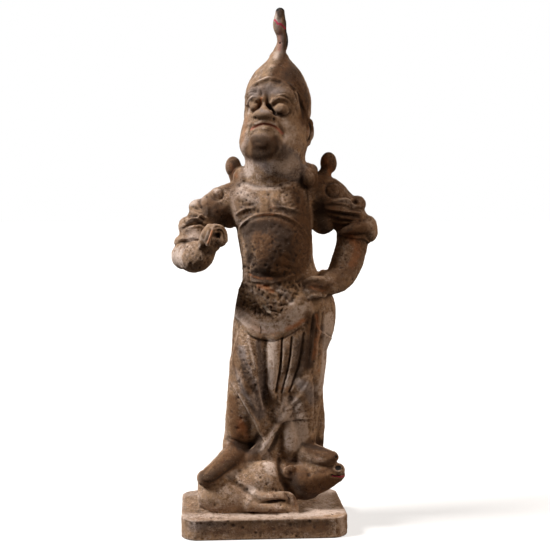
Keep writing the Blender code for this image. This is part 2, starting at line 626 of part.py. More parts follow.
def carve_back(mesh):
    """The back is plainer: a seam down the back plate, a belt, and long folds in the skirt."""
    skin = Skin(mesh, BACK)
    skin.ridge([(-18, 492), (-22, 420), (-27, 356)], 2.6, -2.6)
    skin.hem([(-90, 366), (-60, 360), (-27, 356), (0, 360), (30, 368)], 8.0, 3.0)
    skin.ridge([(-96, 338), (-60, 330), (-27, 327), (10, 330), (40, 338)], 4.0, 3.4)
    for fold in range(7):
        top, foot = -82 + 18 * fold, -78 + 20 * fold
        skin.ridge([(top, 312, 0.4), (top + 3, 250), (foot, 160), (foot - 2, 70, 0.5)], 5.0, -4.0)
        skin.ridge([(top + 9, 306, 0.3), (top + 12, 230), (foot + 10, 120, 0.6)], 4.5, 2.6)
    skin.done()


def model_plinth():
    """A slab with its four upright corners cut off and its edges eased."""
    slab = bmesh.new()
    size = Matrix.Diagonal((PLINTH_WIDTH, PLINTH_DEPTH, PLINTH_THICKNESS, 1.0))
    bmesh.ops.create_cube(slab, size=1.0, matrix=Matrix.Translation((0, 0, PLINTH_THICKNESS / 2)) @ size)
    upright = [e for e in slab.edges if abs(e.verts[0].co.z - e.verts[1].co.z) > PLINTH_THICKNESS / 2]
    bmesh.ops.bevel(slab, geom=upright, offset=PLINTH_CORNER_CUT, segments=3, profile=0.4, affect="EDGES")
    mesh = bpy.data.meshes.new("slab")
    slab.to_mesh(mesh)
    slab.free()
    plinth = bpy.data.objects.new("slab", mesh)
    easing = plinth.modifiers.new("easing", "BEVEL")
    easing.width = PLINTH_EDGE_ROUNDING
    easing.segments = 2
    easing.limit_method = "ANGLE"
    easing.angle_limit = math.radians(50)
    return plinth


def fired_clay():
    """Low-fired grey-brown clay, matt, with nothing left of its glaze or shine."""
    material = bpy.data.materials.new("fired clay")
    material.use_nodes = True
    surface = material.node_tree.nodes["Principled BSDF"]
    surface.inputs["Base Color"].default_value = (0.22, 0.14, 0.09, 1.0)
    surface.inputs["Roughness"].default_value = 0.85
    surface.inputs["Metallic"].default_value = 0.0
    return material


def main():
    for old in list(bpy.data.objects):
        bpy.data.objects.remove(old)
    clay = []
    model_beast(clay)
    model_boots(clay)
    model_skirt(clay)
    model_torso(clay)
    model_raised_arm(clay)
    model_arm_on_hip(clay)
    model_shoulders(clay)
    model_head(clay)
    model_crest(clay)
    mesh = fuse(clay, FUSING_GRAIN)
    carve_beast(mesh)
    carve_skirt(mesh)
    carve_waist(mesh)
    carve_torso(mesh)
    carve_arms(mesh)
    carve_face(mesh)
    carve_ear(mesh)
    carve_cap(mesh)
    carve_back(mesh)

    group = bpy.data.collections.new("tomb guardian figure")
    guides = bpy.data.collections.new("guides")
    for collection in (group, guides):
        bpy.context.scene.collection.children.link(collection)
    mesh.shade_smooth()
    mesh.materials.append(fired_clay())
    figure = bpy.data.objects.new("tomb_guardian", mesh)
    group.objects.link(figure)
    thinning = figure.modifiers.new("thinning", "DECIMATE")
    thinning.ratio = FIGURE_TRIANGLES / sum(len(face.vertices) - 2 for face in mesh.polygons)
    plinth = model_plinth()
    guides.objects.link(plinth)
    plinth.hide_render = True
    plinth.display_type = "WIRE"
    joining = figure.modifiers.new("plinth", "BOOLEAN")
    joining.operation = "UNION"
    joining.object = plinth


main()
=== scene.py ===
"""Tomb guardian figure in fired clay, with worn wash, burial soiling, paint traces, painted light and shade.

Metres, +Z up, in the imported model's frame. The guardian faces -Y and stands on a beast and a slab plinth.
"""

import math

import bmesh
import bpy
import numpy as np
from mathutils import Euler, Matrix, Vector


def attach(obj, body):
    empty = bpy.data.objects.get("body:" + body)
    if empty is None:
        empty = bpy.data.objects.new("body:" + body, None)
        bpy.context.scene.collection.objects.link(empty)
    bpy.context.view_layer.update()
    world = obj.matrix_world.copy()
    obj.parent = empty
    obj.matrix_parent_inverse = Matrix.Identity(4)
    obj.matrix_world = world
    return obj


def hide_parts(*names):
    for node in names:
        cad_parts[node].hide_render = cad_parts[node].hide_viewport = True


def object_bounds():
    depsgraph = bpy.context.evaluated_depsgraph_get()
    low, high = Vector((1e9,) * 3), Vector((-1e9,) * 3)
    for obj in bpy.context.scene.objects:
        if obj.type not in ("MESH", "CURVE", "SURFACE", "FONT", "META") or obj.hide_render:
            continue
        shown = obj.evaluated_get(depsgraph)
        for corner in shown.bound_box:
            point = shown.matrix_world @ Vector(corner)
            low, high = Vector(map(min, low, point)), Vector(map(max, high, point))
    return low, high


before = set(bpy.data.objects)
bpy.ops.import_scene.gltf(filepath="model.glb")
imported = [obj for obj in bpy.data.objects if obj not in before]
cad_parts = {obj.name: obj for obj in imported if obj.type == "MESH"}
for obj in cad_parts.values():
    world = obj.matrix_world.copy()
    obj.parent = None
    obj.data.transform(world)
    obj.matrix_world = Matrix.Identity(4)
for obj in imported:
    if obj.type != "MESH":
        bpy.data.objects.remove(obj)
solid_low, solid_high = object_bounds()


# Slab plinth
# A low slab of the same clay as the figure, cut with a wire, its four upright corners pared off.
# The figure is luted onto it while both are leather-hard, so that the two fire as one piece.

PLINTH_WIDTH = 0.251
PLINTH_DEPTH = 0.174
PLINTH_THICKNESS = 0.032
PLINTH_CORNER_CUT = 0.020
PLINTH_EDGE_WEAR = 0.0022

# The figure is modelled in shares of a millimetre each, 768 of them high, counted up from the plinth's top
SHARE = 0.001
FRONT = Matrix.Translation((0.0, 0.0, PLINTH_THICKNESS)) @ Matrix.Scale(SHARE, 4)
BACK = FRONT @ Matrix.Rotation(math.pi, 4, "Z")

clay = []

# Work to be done on the fused clay: a view of it, the two depths between which strokes land, and a function
carving = []


def keep(shape):
    """The shape is put with the other lumps of clay, to be pressed together later."""
    mesh = bpy.data.meshes.new("lump")
    shape.to_mesh(mesh)
    shape.free()
    clay.append(mesh)


slab = bmesh.new()
slab_size = Matrix.Diagonal((PLINTH_WIDTH, PLINTH_DEPTH, PLINTH_THICKNESS, 1.0))
bmesh.ops.create_cube(slab, size=1.0, matrix=Matrix.Translation((0, 0, PLINTH_THICKNESS / 2)) @ slab_size)
upright = [e for e in slab.edges if abs(e.verts[0].co.z - e.verts[1].co.z) > PLINTH_THICKNESS / 2]
bmesh.ops.bevel(slab, geom=upright, offset=PLINTH_CORNER_CUT, segments=3, profile=0.4, affect="EDGES")
bmesh.ops.bevel(
    slab,
    geom=[e for e in slab.edges if abs(e.verts[0].co.z - e.verts[1].co.z) < 1e-5],
    offset=PLINTH_EDGE_WEAR,
    segments=3,
    profile=0.5,
    affect="EDGES",
)
keep(slab)


def work_plinth(skin):
    """The wire left the top edge a little wavy, and handling has rounded and nicked it."""
    skin.ridges(
        ([(-118, -6), (-60, -9), (0, -7), (60, -10), (118, -7)], 6, -0.8),
        ([(-100, -1), (-30, -2), (10, -1), (90, -2)], 2, 0.5),
    )
    skin.pits([(-116, -30), (116, -30), (116, -2), (-116, -2)], 70, (0.8, 2.4), 0.8, 11)
    skin.tint("stain_and_shade", [(-112, -4, 0.4), (-90, -8), (-30, -6), (60, -9), (104, -8)], 9, 0.55)
    skin.tint("grey", [(-108, -8), (-70, -10), (-40, -12, 0.3)], 12, 0.8)
    # Ochre along the front's foot, and on the right end as part of that end's painted light.
    skin.tints(
        "ochre",
        ([(-100, -30), (0, -30), (110, -30)], 5, 0.6),
        ([(114, -4), (119, -26)], 10, 0.5),
    )
    # Painted shade, partly earth, along the slab's front.
    skin.tint("earth_and_shade", [(-92, -15), (0, -16), (92, -15)], 12, 0.75)
    # Painted light, partly slip, on the slab's two end faces.
    skin.tints(
        "slip_and_light",
        ([(114, -4), (118, -26)], 8, 0.75),
        ([(-114, -4), (-118, -26)], 7, 0.3),
    )


carving.append((FRONT, (-120, -70), work_plinth))

# Seen from above, with the figure's front towards the foot of the view
ABOVE = FRONT @ Matrix.Rotation(-math.pi / 2, 4, "X")


def work_plinth_top_dust_and_light(skin):
    """The slab's top is painted lighter than its sides: partly pale dust, partly painted top light."""
    skin.pits([(-118, -80), (118, -80), (118, 80), (-118, 80)], 120, (0.8, 2.6), 0.8, 16)
    # Painted light: the top is lightened all over.
    skin.tints(
        "slip_and_light",
        ([(-120, -62), (-60, -68), (0, -72), (60, -70), (118, -50)], 20, 0.7),
        ([(80, -40), (100, 0), (96, 60)], 26, 0.7),
        ([(-118, 60), (0, 74), (110, 70)], 20, 0.6),
    )


carving.append((ABOVE, (-8, 6), work_plinth_top_dust_and_light))


# Beast underfoot
# A recumbent beast pressed flat under both boots, built of solid lumps of the same clay and luted to
# the slab, with its hide drawn in by tool. Its small eye and mouth keep their black and red paint, and
# the white glint on the eye is a painted highlight.

LENGTHWISE = FRONT @ Matrix(((0, 0, 1, 0), (1, 0, 0, 0), (0, 1, 0, 0), (0, 0, 0, 1)))
LOFT_SIDES = 56


def smooth_rows(rows, steps=6):
    """Rows of numbers joined by a smooth curve that passes through each row."""
    rows = np.array(rows, float)
    padded = np.vstack([2 * rows[0] - rows[1], rows, 2 * rows[-1] - rows[-2]])
    t = np.linspace(0.0, 1.0, steps, endpoint=False)[:, None]
    found = []
    for a, b, c, d in zip(padded, padded[1:], padded[2:], padded[3:]):
        bend = (2 * a - 5 * b + 4 * c - d) * t**2 + (3 * b - a - 3 * c + d) * t**3
        found.append(0.5 * (2 * b + (c - a) * t + bend))
    return np.vstack([*found, rows[-1:]])


def lump(at, radii, turn=(0, 0, 0), view=FRONT):
    """A ball of clay pressed to three radii and turned by degrees about X, Y and Z."""
    spin = Euler([math.radians(a) for a in turn]).to_matrix().to_4x4()
    matrix = view @ Matrix.Translation(at) @ spin @ Matrix.Diagonal((*radii, 1.0))
    ball = bmesh.new()
    bmesh.ops.create_uvsphere(ball, u_segments=40, v_segments=24, radius=1.0, matrix=matrix)
    keep(ball)


def roll(path, view=FRONT):
    """A roll of clay along a path of (x, y, z, radius), with round ends."""
    track = bpy.data.curves.new("roll", "CURVE")
    track.dimensions = "3D"
    track.bevel_depth = SHARE
    track.bevel_resolution = 6
    track.use_fill_caps = True
    rows = smooth_rows(path)
    line = track.splines.new("POLY")
    line.points.add(len(rows) - 1)
    for point, (x, y, z, radius) in zip(line.points, rows):
        point.co = (*(view @ Vector((x, y, z))), 1.0)
        point.radius = max(radius, 0.1)
    holder = bpy.data.objects.new("roll", track)
    clay.append(bpy.data.meshes.new_from_object(holder))
    bpy.data.objects.remove(holder)
    for x, y, z, radius in (path[0], path[-1]):
        lump((x, y, z), (radius, radius, radius), view=view)


def loft(sections, view=FRONT):
    """A closed shell through ovals (height, middle x, middle y, half width, half depth) up the view's Z."""
    shell = bmesh.new()
    turns = [2 * math.pi * i / LOFT_SIDES for i in range(LOFT_SIDES)]
    rings = []
    for height, middle_x, middle_y, half_width, half_depth in smooth_rows(sections):
        middle = Vector((middle_x, middle_y, height))
        oval = [middle + Vector((half_width * math.cos(a), half_depth * math.sin(a), 0)) for a in turns]
        rings.append([shell.verts.new(view @ spot) for spot in oval])
    for low, high in zip(rings, rings[1:]):
        for i in range(LOFT_SIDES):
            j = (i + 1) % LOFT_SIDES
            shell.faces.new((low[i], low[j], high[j], high[i]))
    shell.faces.new(rings[0][::-1])
    shell.faces.new(rings[-1])
    keep(shell)


loft(
    [
        (-101, -8, 20, 14, 18),
        (-95, -10, 23, 34, 27),
        (-60, -12, 29, 46, 34),
        (-20, -10, 34, 46, 40),
        (15, -8, 38, 44, 42),
        (42, -8, 38, 34, 38),
        (56, -10, 38, 26, 30),
    ],
    LENGTHWISE,
)
lump((-52, -45, 22), (50, 20, 28), (0, 5, 4))
lump((-84, -38, 32), (17, 18, 18))
lump((2, -34, 44), (34, 24, 32))
lump((8, -48, 14), (38, 14, 18))
foreleg = [(-18, -54, 26, 10), (8, -58, 26, 7), (26, -58, 27, 6.5), (38, -57, 24, 7)]
roll([*foreleg, (44, -55, 14, 7), (46, -54, 5, 7)])
roll([(44, -57, 4, 7), (24, -59, 9, 8), (0, -58, 11, 9), (-24, -56, 14, 11)])
lump((54, -18, 42), (30, 30, 30))
lump((66, -30, 46), (30, 26, 25), (0, 16, 0))
lump((64, -28, 30), (26, 22, 18))
roll([(72, -34, 48, 22), (92, -39, 53, 17), (108, -43, 56, 12), (115, -44, 55, 10)])
roll([(72, -34, 36, 17), (88, -38, 40, 15), (104, -42, 46, 11), (114, -43, 50, 8)])
lump((113, -43, 61), (12, 12, 11))
lump((40, -42, 59), (9, 7, 11), (0, 20, 0))
lump((103, -42, 71), (10, 9, 7))


RING_STEPS = 10


def ring(middle_x, middle_z, radius, squash=1.0):
    """The points of a circle for a stroke."""
    turns = [2 * math.pi * i / RING_STEPS for i in range(RING_STEPS + 1)]
    return [(middle_x + radius * math.cos(a), middle_z + squash * radius * math.sin(a)) for a in turns]


def work_beast(skin):
    """The hide's folds, the foreleg's slit, the ear, the painted eye and mouth, painted shade and a painted
    glint.
    """
    skin.ridges(
        ([(-58, 57, 0.4), (-36, 42), (-22, 32), (-12, 22, 0.4)], 4.5, -4),
        ([(24, 74), (27, 50), (34, 36), (37, 22)], 4, -5),
        ([(-8, 18, 0.2), (8, 19), (24, 20), (30, 19, 0.8)], 1.6, -5),
        ([(-4, 24, 0.3), (12, 25), (28, 25)], 2, 1.2),
    )
    skin.plate(ring(40, 58, 3, 1.2), -2.4, 2.4)
    skin.ridges(
        ([(44, 50, 0.4), (35, 52), (32, 60), (36, 68), (46, 68, 0.5)], 2.2, 1.6),
        ([(103, 56, 0.6), (108, 53.5), (115, 54), (124, 55.5)], 1.5, -3.6),
        (ring(113, 67, 6.2, 0.85), 1.5, 1.6),
    )
    skin.plate(ring(113, 67, 3.6, 0.85), -1.4, 1.5)
    skin.plate(ring(69, 57, 3), -2.5, 2)
    skin.ridge([(56, 66), (70, 62), (84, 60), (98, 62, 0.4)], 3, -1.8)
    skin.pits([(-90, 10), (30, 10), (20, 60), (-60, 50)], 60, (0.9, 2.4), 0.8, 12)
    skin.tints(
        "slip_and_light",
        ([(-60, 66), (-52, 58), (-44, 60)], 6, 1),
        ([(2, 92), (6, 78), (10, 66)], 9, 1),
        ([(-60, 40), (-40, 24), (-10, 40)], 20, 0.45),
        ([(40, 74), (50, 72), (56, 68)], 6, 1),
        ([(-24, 40), (-18, 37)], 3, 1.2),
        ([(107, 64), (109, 71), (115, 73), (120, 70)], 1.5, 0.5),
    )
    skin.tint("earth_and_shade", [(48, 52), (60, 40), (76, 36), (96, 46)], 22, 1.7)
    skin.tint("ochre", [(60, 60), (80, 52), (104, 52)], 16, 1)
    # The first two strokes are painted shade: under the jaw and in the slit under the foreleg.
    skin.tints(
        "stain_and_shade",
        ([(44, 50), (52, 34), (64, 22), (80, 20)], 10, 0.8),
        ([(6, 19), (24, 20), (30, 19.5)], 1.8, 1.2),
        ([(56, 60), (70, 58), (80, 60)], 7, 0.5),
    )
    skin.tints(
        "black",
        ([(111.6, 66.8), (114.6, 66.8)], 3.2, 1.6),
        ([(103, 56.8), (108, 55.6), (116, 56)], 1, 1),
    )
    # Painted highlight: a white glint on the eye's black pupil.
    skin.tint("white", [(114.4, 68.2), (115, 68.2)], 0.9, 1.2)
    skin.tint("red", [(104, 54.8), (110, 53), (118, 52.4), (124, 53.4)], 1.2, 0.9)


carving.append((FRONT, (-90, 10), work_beast))


# Boots, legs and skirt
# Coil-built legs in tall boots, inside a long skirt that falls in pleats to a knot between the shins.
# The folds are rolls laid on and drawn down, then sharpened with the edge of a wooden tool.

left_foot = [(-30, 0, 84, 23), (-46, -16, 77, 21), (-67, -38, 64, 18), (-83, -52, 57, 15)]
roll([*left_foot, (-90, -55, 55, 12.5)])
lump((-46, -14, 66), (26, 28, 16), (0, -28, 28))
right_foot = [(50, 0, 90, 20), (66, -20, 85, 19), (88, -38, 82, 15), (101, -45, 82, 11.5)]
roll([*right_foot, (105, -46, 82, 9.5)])
loft(
    [
        (70, -40, -2, 22, 26),
        (95, -39, -2, 23, 26),
        (115, -36, -4, 23, 28),
        (145, -32.5, -7, 24.5, 32),
        (180, -29, -8, 25, 35),
        (230, -21.5, -6, 29, 38),
    ]
)
loft(
    [
        (76, 58, -4, 24, 25),
        (110, 60, -6, 24, 28),
        (136, 60, -8, 27, 31),
        (180, 60, -8, 32, 37),
        (230, 56, -8, 36, 40),
    ]
)
loft(
    [
        (60, 16, 22, 56, 20),
        (120, 20, 22, 72, 26),
        (178, 20, 12, 71, 36),
        (205, 22, 8, 72.5, 43),
        (240, 27, 4, 74.5, 48),
        (268, 32.5, 2, 78.5, 52),
        (298, 36, 2, 79.2, 55),
        (325, 36, 1, 75, 53),
        (348, 31, 0, 63, 48),
    ]
)
lump((-18, -20, 222), (30, 36, 92), (0, 4, 0))
lump((-12, -18, 172), (26, 24, 56), (0, 16, 0))
lump((2, -16, 142), (22, 22, 46), (0, 34, 0))
lump((60, -18, 218), (36, 37, 84))
lump((10, -8, 112), (30, 25, 62))
lump((4, -14, 150), (26, 26, 44), (0, 14, 0))
loft(
    [
        (140, 26, -26, 10, 12),
        (168, 26, -28, 17, 17),
        (188, 28, -30, 22, 19),
        (226, 36, -30, 30, 23),
        (262, 41, -30, 36, 23),
        (292, 43, -26, 37, 20),
    ]
)
roll([(89, 4, 270, 12), (90.5, 4, 225, 11), (87, 4, 180, 9), (90, 4, 130, 9), (88, 4, 84, 9)])
roll([(15, -30, 290, 8), (15, -42, 260, 12), (15, -45, 228, 11.5), (14, -43, 190, 8), (18, -40, 170, 4)])
roll([(35, -38, 288, 5), (34, -48, 260, 6), (30, -49, 226, 5.5), (23, -44, 186, 4.5)])
roll([(51, -38, 290, 6), (51, -47, 262, 8), (44, -49, 228, 7.5), (32, -45, 186, 5)])
roll([(68, -34, 294, 6), (67, -42, 270, 7.5), (59, -46, 236, 7.5), (43, -46, 188, 5)])
knot_end = [(42, -30, 160, 6), (24, -29, 139, 7), (9, -29, 114, 8), (-6, -28, 92, 10)]
roll([*knot_end, (-20, -23, 74, 12), (-30, -13, 60, 14)])
boot_hem = [(-48, -20, 201, 3), (-44, -34, 190, 3.5), (-36, -41, 177, 4), (-22, -38, 150, 4.5)]
roll([*boot_hem, (-9, -33, 128, 5), (1, -30, 110, 4)])
lump((26, -31, 160), (22, 13, 26))
lump((0, -24, 216), (16, 14, 62))
lump((42, -15, 118), (19, 24, 50))


def work_skirt(skin):
    """Pleats, the knot, the hem over the left boot, and the stains that gather in the folds."""
    skin.ridges(
        ([(-3, 262, 0.7), (-5, 230), (-4, 196), (2, 166), (8, 140, 0.6)], 6, -2),
        ([(27, 266), (25, 226), (18, 184)], 1.6, -3.6),
        ([(42, 268), (37, 226), (27, 184)], 1.6, -3.6),
        ([(60, 274), (52, 228), (38, 184)], 1.7, -3),
        ([(30, 266, 0.6), (28, 226), (21, 190, 0.5)], 1.6, 1.4),
        ([(46, 268, 0.6), (40, 226), (30, 190, 0.5)], 1.6, 1.4),
        ([(12, 182, 0.5), (22, 170), (36, 160, 0.5)], 3.2, 1.4),
        ([(38, 184, 0.5), (32, 170), (20, 150, 0.5)], 3.2, 1.4),
        ([(26, 182, 0.5), (27, 166), (30, 150, 0.5)], 2.6, -1.2),
    )
    for lean in (0, 8, 17):
        skin.ridge([(74 + lean, 302, 0.6), (71 + lean, 262), (65 + lean, 214, 0.3)], 2.6, -3.2)
    skin.ridges(
        ([(74, 214, 0.4), (80, 184), (82, 150), (80, 120)], 4, -4),
        ([(36, 156, 0.5), (52, 174), (65, 194), (76, 214, 0.3)], 3.4, 1.7),
        ([(44, 150, 0.5), (58, 164), (70, 176, 0.3)], 3.4, 1.4),
        ([(-23, 268, 0.6), (-18, 244), (-13, 222)], 2.4, 3),
        ([(-12, 204), (-8, 180), (-2, 158)], 2.6, 2.6),
        ([(-40, 244, 0.4), (-35, 215), (-25, 186), (-13, 158)], 3, 3),
        ([(-47, 262, 0.4), (-44, 232), (-38, 206, 0.4)], 3, 1.8),
    )
    skin.hem([(-54, 204, 0.4), (-35, 177), (-21, 150), (-9, 126), (-2, 112, 0.6)], 20, 4.6, 3.5)
    skin.ridges(
        ([(-50, 199, 0.5), (-34, 177), (-20, 150), (-8, 126, 0.6)], 2.4, 1.1),
        ([(40, 152, 0.5), (26, 138), (13, 113), (0, 92, 0.5)], 4.6, 3),
        ([(24, 132, 0.5), (20, 113), (13, 97, 0.6)], 4, -3),
    )
    skin.hem([(36, 137, 0.5), (52, 140), (72, 139, 0.5)], 14, 2.8)
    skin.ridges(
        ([(-66, 112, 0.4), (-46, 106), (-24, 98), (-6, 97, 0.5)], 3, -2.6),
        ([(-60, 104, 0.4), (-42, 97), (-22, 90, 0.5)], 3.4, -1.6),
        ([(-92, 53, 0.4), (-78, 53), (-62, 61), (-44, 72, 0.5)], 1.6, -1.8),
    )
    skin.plate(ring(110, 84, 1.6, 1.3), -2.4, 1.6)
    skin.marks([(12, 182), (46, 178), (42, 144), (12, 142)], 60, (4.5, 1.4), 0.75, 24)
    skin.pits([(-56, 290), (-6, 290), (0, 110), (-40, 120)], 90, (0.8, 2.2), 0.9, 13)
    skin.pits([(60, 285), (96, 285), (90, 120), (40, 110)], 50, (0.8, 2), 0.8, 14)
    skin.pits([(-60, 195), (-30, 170), (-30, 90), (-60, 100)], 40, (0.8, 2), 1, 15)
    skin.marks([(46, 280), (74, 296), (66, 214), (40, 206)], 60, (7, 0.9), 0.8, 25)
    skin.marks([(-46, 280), (-12, 262), (0, 170), (-40, 200)], 60, (7, 1.1), 0.8, 26)
    skin.tints(
        "slip_and_light",
        ([(-50, 199), (-34, 177), (-20, 150), (-8, 126, 0.6)], 3, 0.6),
        ([(-90, 64), (-74, 78), (-58, 90), (-50, 96)], 3, 0.7),
        ([(12, 258), (13, 226), (12, 196)], 7, 1.8),
        ([(34, 206), (42, 206), (30, 196)], 7, 0.9),
        ([(98, 290), (96, 244), (90, 190)], 7, 0.6),
        ([(-42, 258), (-40, 230), (-36, 206)], 7, 0.4),
        ([(30, 176), (36, 166), (30, 150)], 9, 0.4),
        ([(38, 150), (22, 138), (10, 110), (-4, 92)], 6, 0.8),
        ([(46, 128), (48, 110), (44, 98)], 8, 0.6),
        ([(-60, 186), (-60, 150), (-62, 120)], 5, 0.5),
        ([(50, 202), (64, 196), (76, 186)], 13, 0.45),
        ([(-40, 236), (-32, 206), (-16, 180)], 4, 0.8),
        ([(102, 296), (104, 260), (98, 220), (94, 180)], 7, 1.7),
        ([(44, 160), (50, 130), (48, 108)], 13, 2.4),
        ([(60, 132), (66, 112)], 8, 0.4),
    )
    skin.tints(
        "stain_and_shade",
        ([(-92, 53), (-78, 53), (-62, 61), (-44, 72)], 1.6, 0.6),
        ([(-64, 108), (-44, 102), (-22, 94)], 3, 0.7),
        ([(56, 262), (54, 236), (50, 214)], 14, 0.8),
        ([(34, 250), (32, 226), (28, 210)], 6, 0.5),
        ([(78, 300), (76, 262), (70, 226)], 7, 1),
        ([(-34, 98), (-14, 92), (-8, 110)], 9, 1),
        ([(18, 118), (18, 104), (10, 92)], 5, 0.9),
        ([(-8, 262), (-6, 230), (-2, 190)], 7, 0.6),
        ([(60, 100), (84, 96), (100, 96)], 5, 0.8),
        ([(-80, 58), (-62, 68), (-42, 78)], 12, 0.62),
    )
    skin.tints(
        "grey",
        ([(-94, 60), (-84, 62)], 7, 0.9),
        ([(14, 262), (16, 230)], 6, 0.4),
        ([(-34, 250), (-32, 220), (-24, 190)], 8, 1.1),
        ([(-30, 216), (-18, 186), (-6, 150)], 12, 1.2),
        ([(-8, 260), (-4, 226), (0, 180)], 7, 1),
        ([(56, 196), (68, 190), (76, 170)], 12, 1),
        ([(98, 280), (98, 240), (92, 190)], 8, 1.4),
        ([(-84, 62), (-66, 72), (-50, 78)], 9, 0.6),
    )
    skin.tint("black", ring(110, 84, 0.8), 1.6, 1.2)
    skin.tints(
        "earth_and_shade",
        ([(74, 96), (88, 94), (106, 88)], 10, 1.4),
        ([(-46, 262), (-44, 240), (-30, 216), (-22, 190)], 10, 0.9),
        ([(-48, 170), (-44, 140), (-42, 110)], 11, 0.35),
        ([(66, 300), (70, 268), (64, 226)], 9, 0.8),
        ([(-84, 62), (-66, 72), (-46, 82), (-26, 90)], 14, 2),
        ([(-50, 240), (-48, 214), (-46, 196)], 8, 0.5),
        ([(-46, 170), (-44, 130), (-40, 104)], 14, 0.6),
    )
    skin.tints(
        "ochre",
        ([(-50, 170), (-44, 140), (-40, 110)], 12, 1.2),
        ([(-84, 62), (-66, 72), (-46, 82), (-26, 90)], 14, 0.7),
    )
    skin.tints(
        "orange",
        ([(-36, 140), (-28, 122), (-26, 112)], 9, 0.6),
        ([(24, 190), (40, 190)], 4, 0.5),
        ([(80, 300), (84, 270), (76, 236)], 7, 0.6),
        ([(-34, 128), (-50, 104), (-60, 90)], 8, 0.4),
    )


carving.append((FRONT, (-72, 60), work_skirt))


# Body armour, belt and apron
# A thrown body shut at the neck, cut away under the arms, with chest plates, a rimmed belly guard and a
# sagging apron roll laid on. The waist was hacked and has spalled, so the raw clay body shows there.

loft(
    [
        (325, 36, 0, 72, 52),
        (352, 31, -3, 62, 50),
        (376, 25, -5, 56, 51),
        (405, 21, -6, 56.5, 53),
        (437, 18, -4, 58.5, 52),
        (468, 16, 0, 62, 49),
        (488, 14, 3, 62, 45),
        (504, 16, 5, 54, 42),
        (516, 19, 4, 46, 40),
    ]
)
lump((-22, -18, 466), (28, 25, 38))
lump((38, -19, 466), (29, 25, 38))
lump((18, -26, 402), (48, 37, 58))


def work_torso(skin):
    """Chest plates either side of a flat strip, the rimmed belly guard and the side seam."""
    left_rim = [(-37, 412), (-34, 436), (-18, 450), (5, 455)]
    right_rim = [(28, 452), (51, 440), (66, 421), (70, 402), (66, 378)]
    lower_rim = [(56, 364), (38, 358), (14, 350), (-12, 350), (-25, 352), (-32, 378)]
    skin.plate([*left_rim, *right_rim, *lower_rim], 1, 5)
    skin.ridges(
        ([*left_rim, *right_rim], 1.7, 2),
        ([(-34, 404), (-31, 432), (-17, 445), (5, 450), (27, 447), (48, 435), (62, 417)], 1.8, -1),
        ([(-24, 352, 0.5), (-8, 352), (18, 352, 0.6), (41, 361), (58, 370, 0.5)], 2.2, 1.6),
        ([(-17, 392, 0.5), (-23, 374), (-21, 350)], 2.6, -3),
        ([(-12, 368, 0.3), (8, 361), (30, 362), (52, 374, 0.5)], 3, -1.4),
        ([(-6, 376, 0.3), (14, 369), (34, 371), (56, 384, 0.3)], 3.4, 1.1),
    )
    skin.marks([(-30, 440), (58, 430), (54, 366), (-24, 366)], 46, (8, 2.6), 0.8, 24)
    skin.ridges(
        ([(-28, 396, 0.5), (-31, 374), (-28, 348)], 3, 1.6),
        ([(-8, 490, 0.5), (-9, 474), (-8, 457)], 2.2, -1),
        ([(11, 490, 0.5), (9, 472), (10, 457)], 2.2, -1),
        (ring(39, 478, 14), 2.2, -0.8),
        (ring(39, 479, 8), 1.8, -0.3),
        (ring(-24, 479, 12), 2.2, -0.7),
        ([(-41, 454), (-28, 462), (-15, 463)], 2.2, 2),
        ([(14, 465), (33, 464), (54, 457)], 2.2, 1.8),
        ([(50, 486, 0.5), (56, 474), (54, 460, 0.5)], 2, 1.8),
    )
    skin.hem([(68, 492), (70, 467), (72, 441), (74, 418)], 8, 2, 4)
    skin.hem([(42, 504), (24, 498), (6, 496), (-11, 498), (-29, 505)], 10, -1.8, 4)
    skin.pits([(-30, 440), (60, 430), (56, 362), (-26, 362)], 240, (0.8, 2.5), 0.9, 22)
    skin.pits([(-40, 500), (66, 500), (70, 450), (-44, 455)], 110, (0.8, 2.2), 0.9, 23)
    skin.tints(
        "slip_and_light",
        (ring(39, 478, 10), 4, 0.3),
        ([(-36, 488), (-26, 482), (-14, 474)], 10, 0.8),
        ([(-32, 500), (-8, 494), (20, 495), (40, 500)], 5, 0.9),
        ([(-46, 486), (-46, 468), (-40, 440)], 7, 0.6),
        ([(-30, 440), (-16, 446), (8, 449)], 6, 0.6),
        ([(-38, 420), (-36, 390), (-34, 360)], 5, 0.5),
        ([(6, 386), (20, 376), (40, 372)], 3, 0.5),
    )
    skin.tints(
        "earth_and_shade",
        ([(50, 484), (58, 466), (64, 446), (62, 420)], 12, 1.1),
        ([(-2, 488), (1, 470), (2, 458)], 12, 0.3),
        ([(12, 424), (18, 400), (20, 382)], 28, 2.2),
        ([(44, 424), (52, 396), (48, 382)], 18, 1.6),
    )
    skin.tints(
        "ochre",
        ([(0, 488), (1, 470), (0, 458)], 9, 0.8),
        ([(-10, 412), (10, 396), (26, 376)], 22, 1.2),
    )
    skin.tints(
        "orange",
        ([(-10, 451), (2, 453), (16, 453)], 1.8, 0.7),
        ([(-22, 362), (-8, 358), (12, 357)], 3, 0.7),
    )
    skin.tints(
        "stain_and_shade",
        ([(-24, 434), (-4, 436), (16, 434), (34, 424)], 12, 0.9),
        ([(20, 404), (10, 384), (-8, 366)], 16, 0.7),
        ([(-14, 362), (6, 358), (30, 362)], 7, 0.45),
        ([(-26, 424), (-22, 404), (-20, 384)], 7, 0.8),
        ([(30, 412), (40, 398), (42, 380)], 7, 0.6),
        ([(-14, 470), (-14, 460)], 5, 0.7),
        ([(20, 470), (30, 460), (46, 456)], 7, 0.8),
        ([(46, 486), (52, 474)], 6, 0.5),
        ([(-30, 494), (-28, 462)], 6, 0.4),
    )


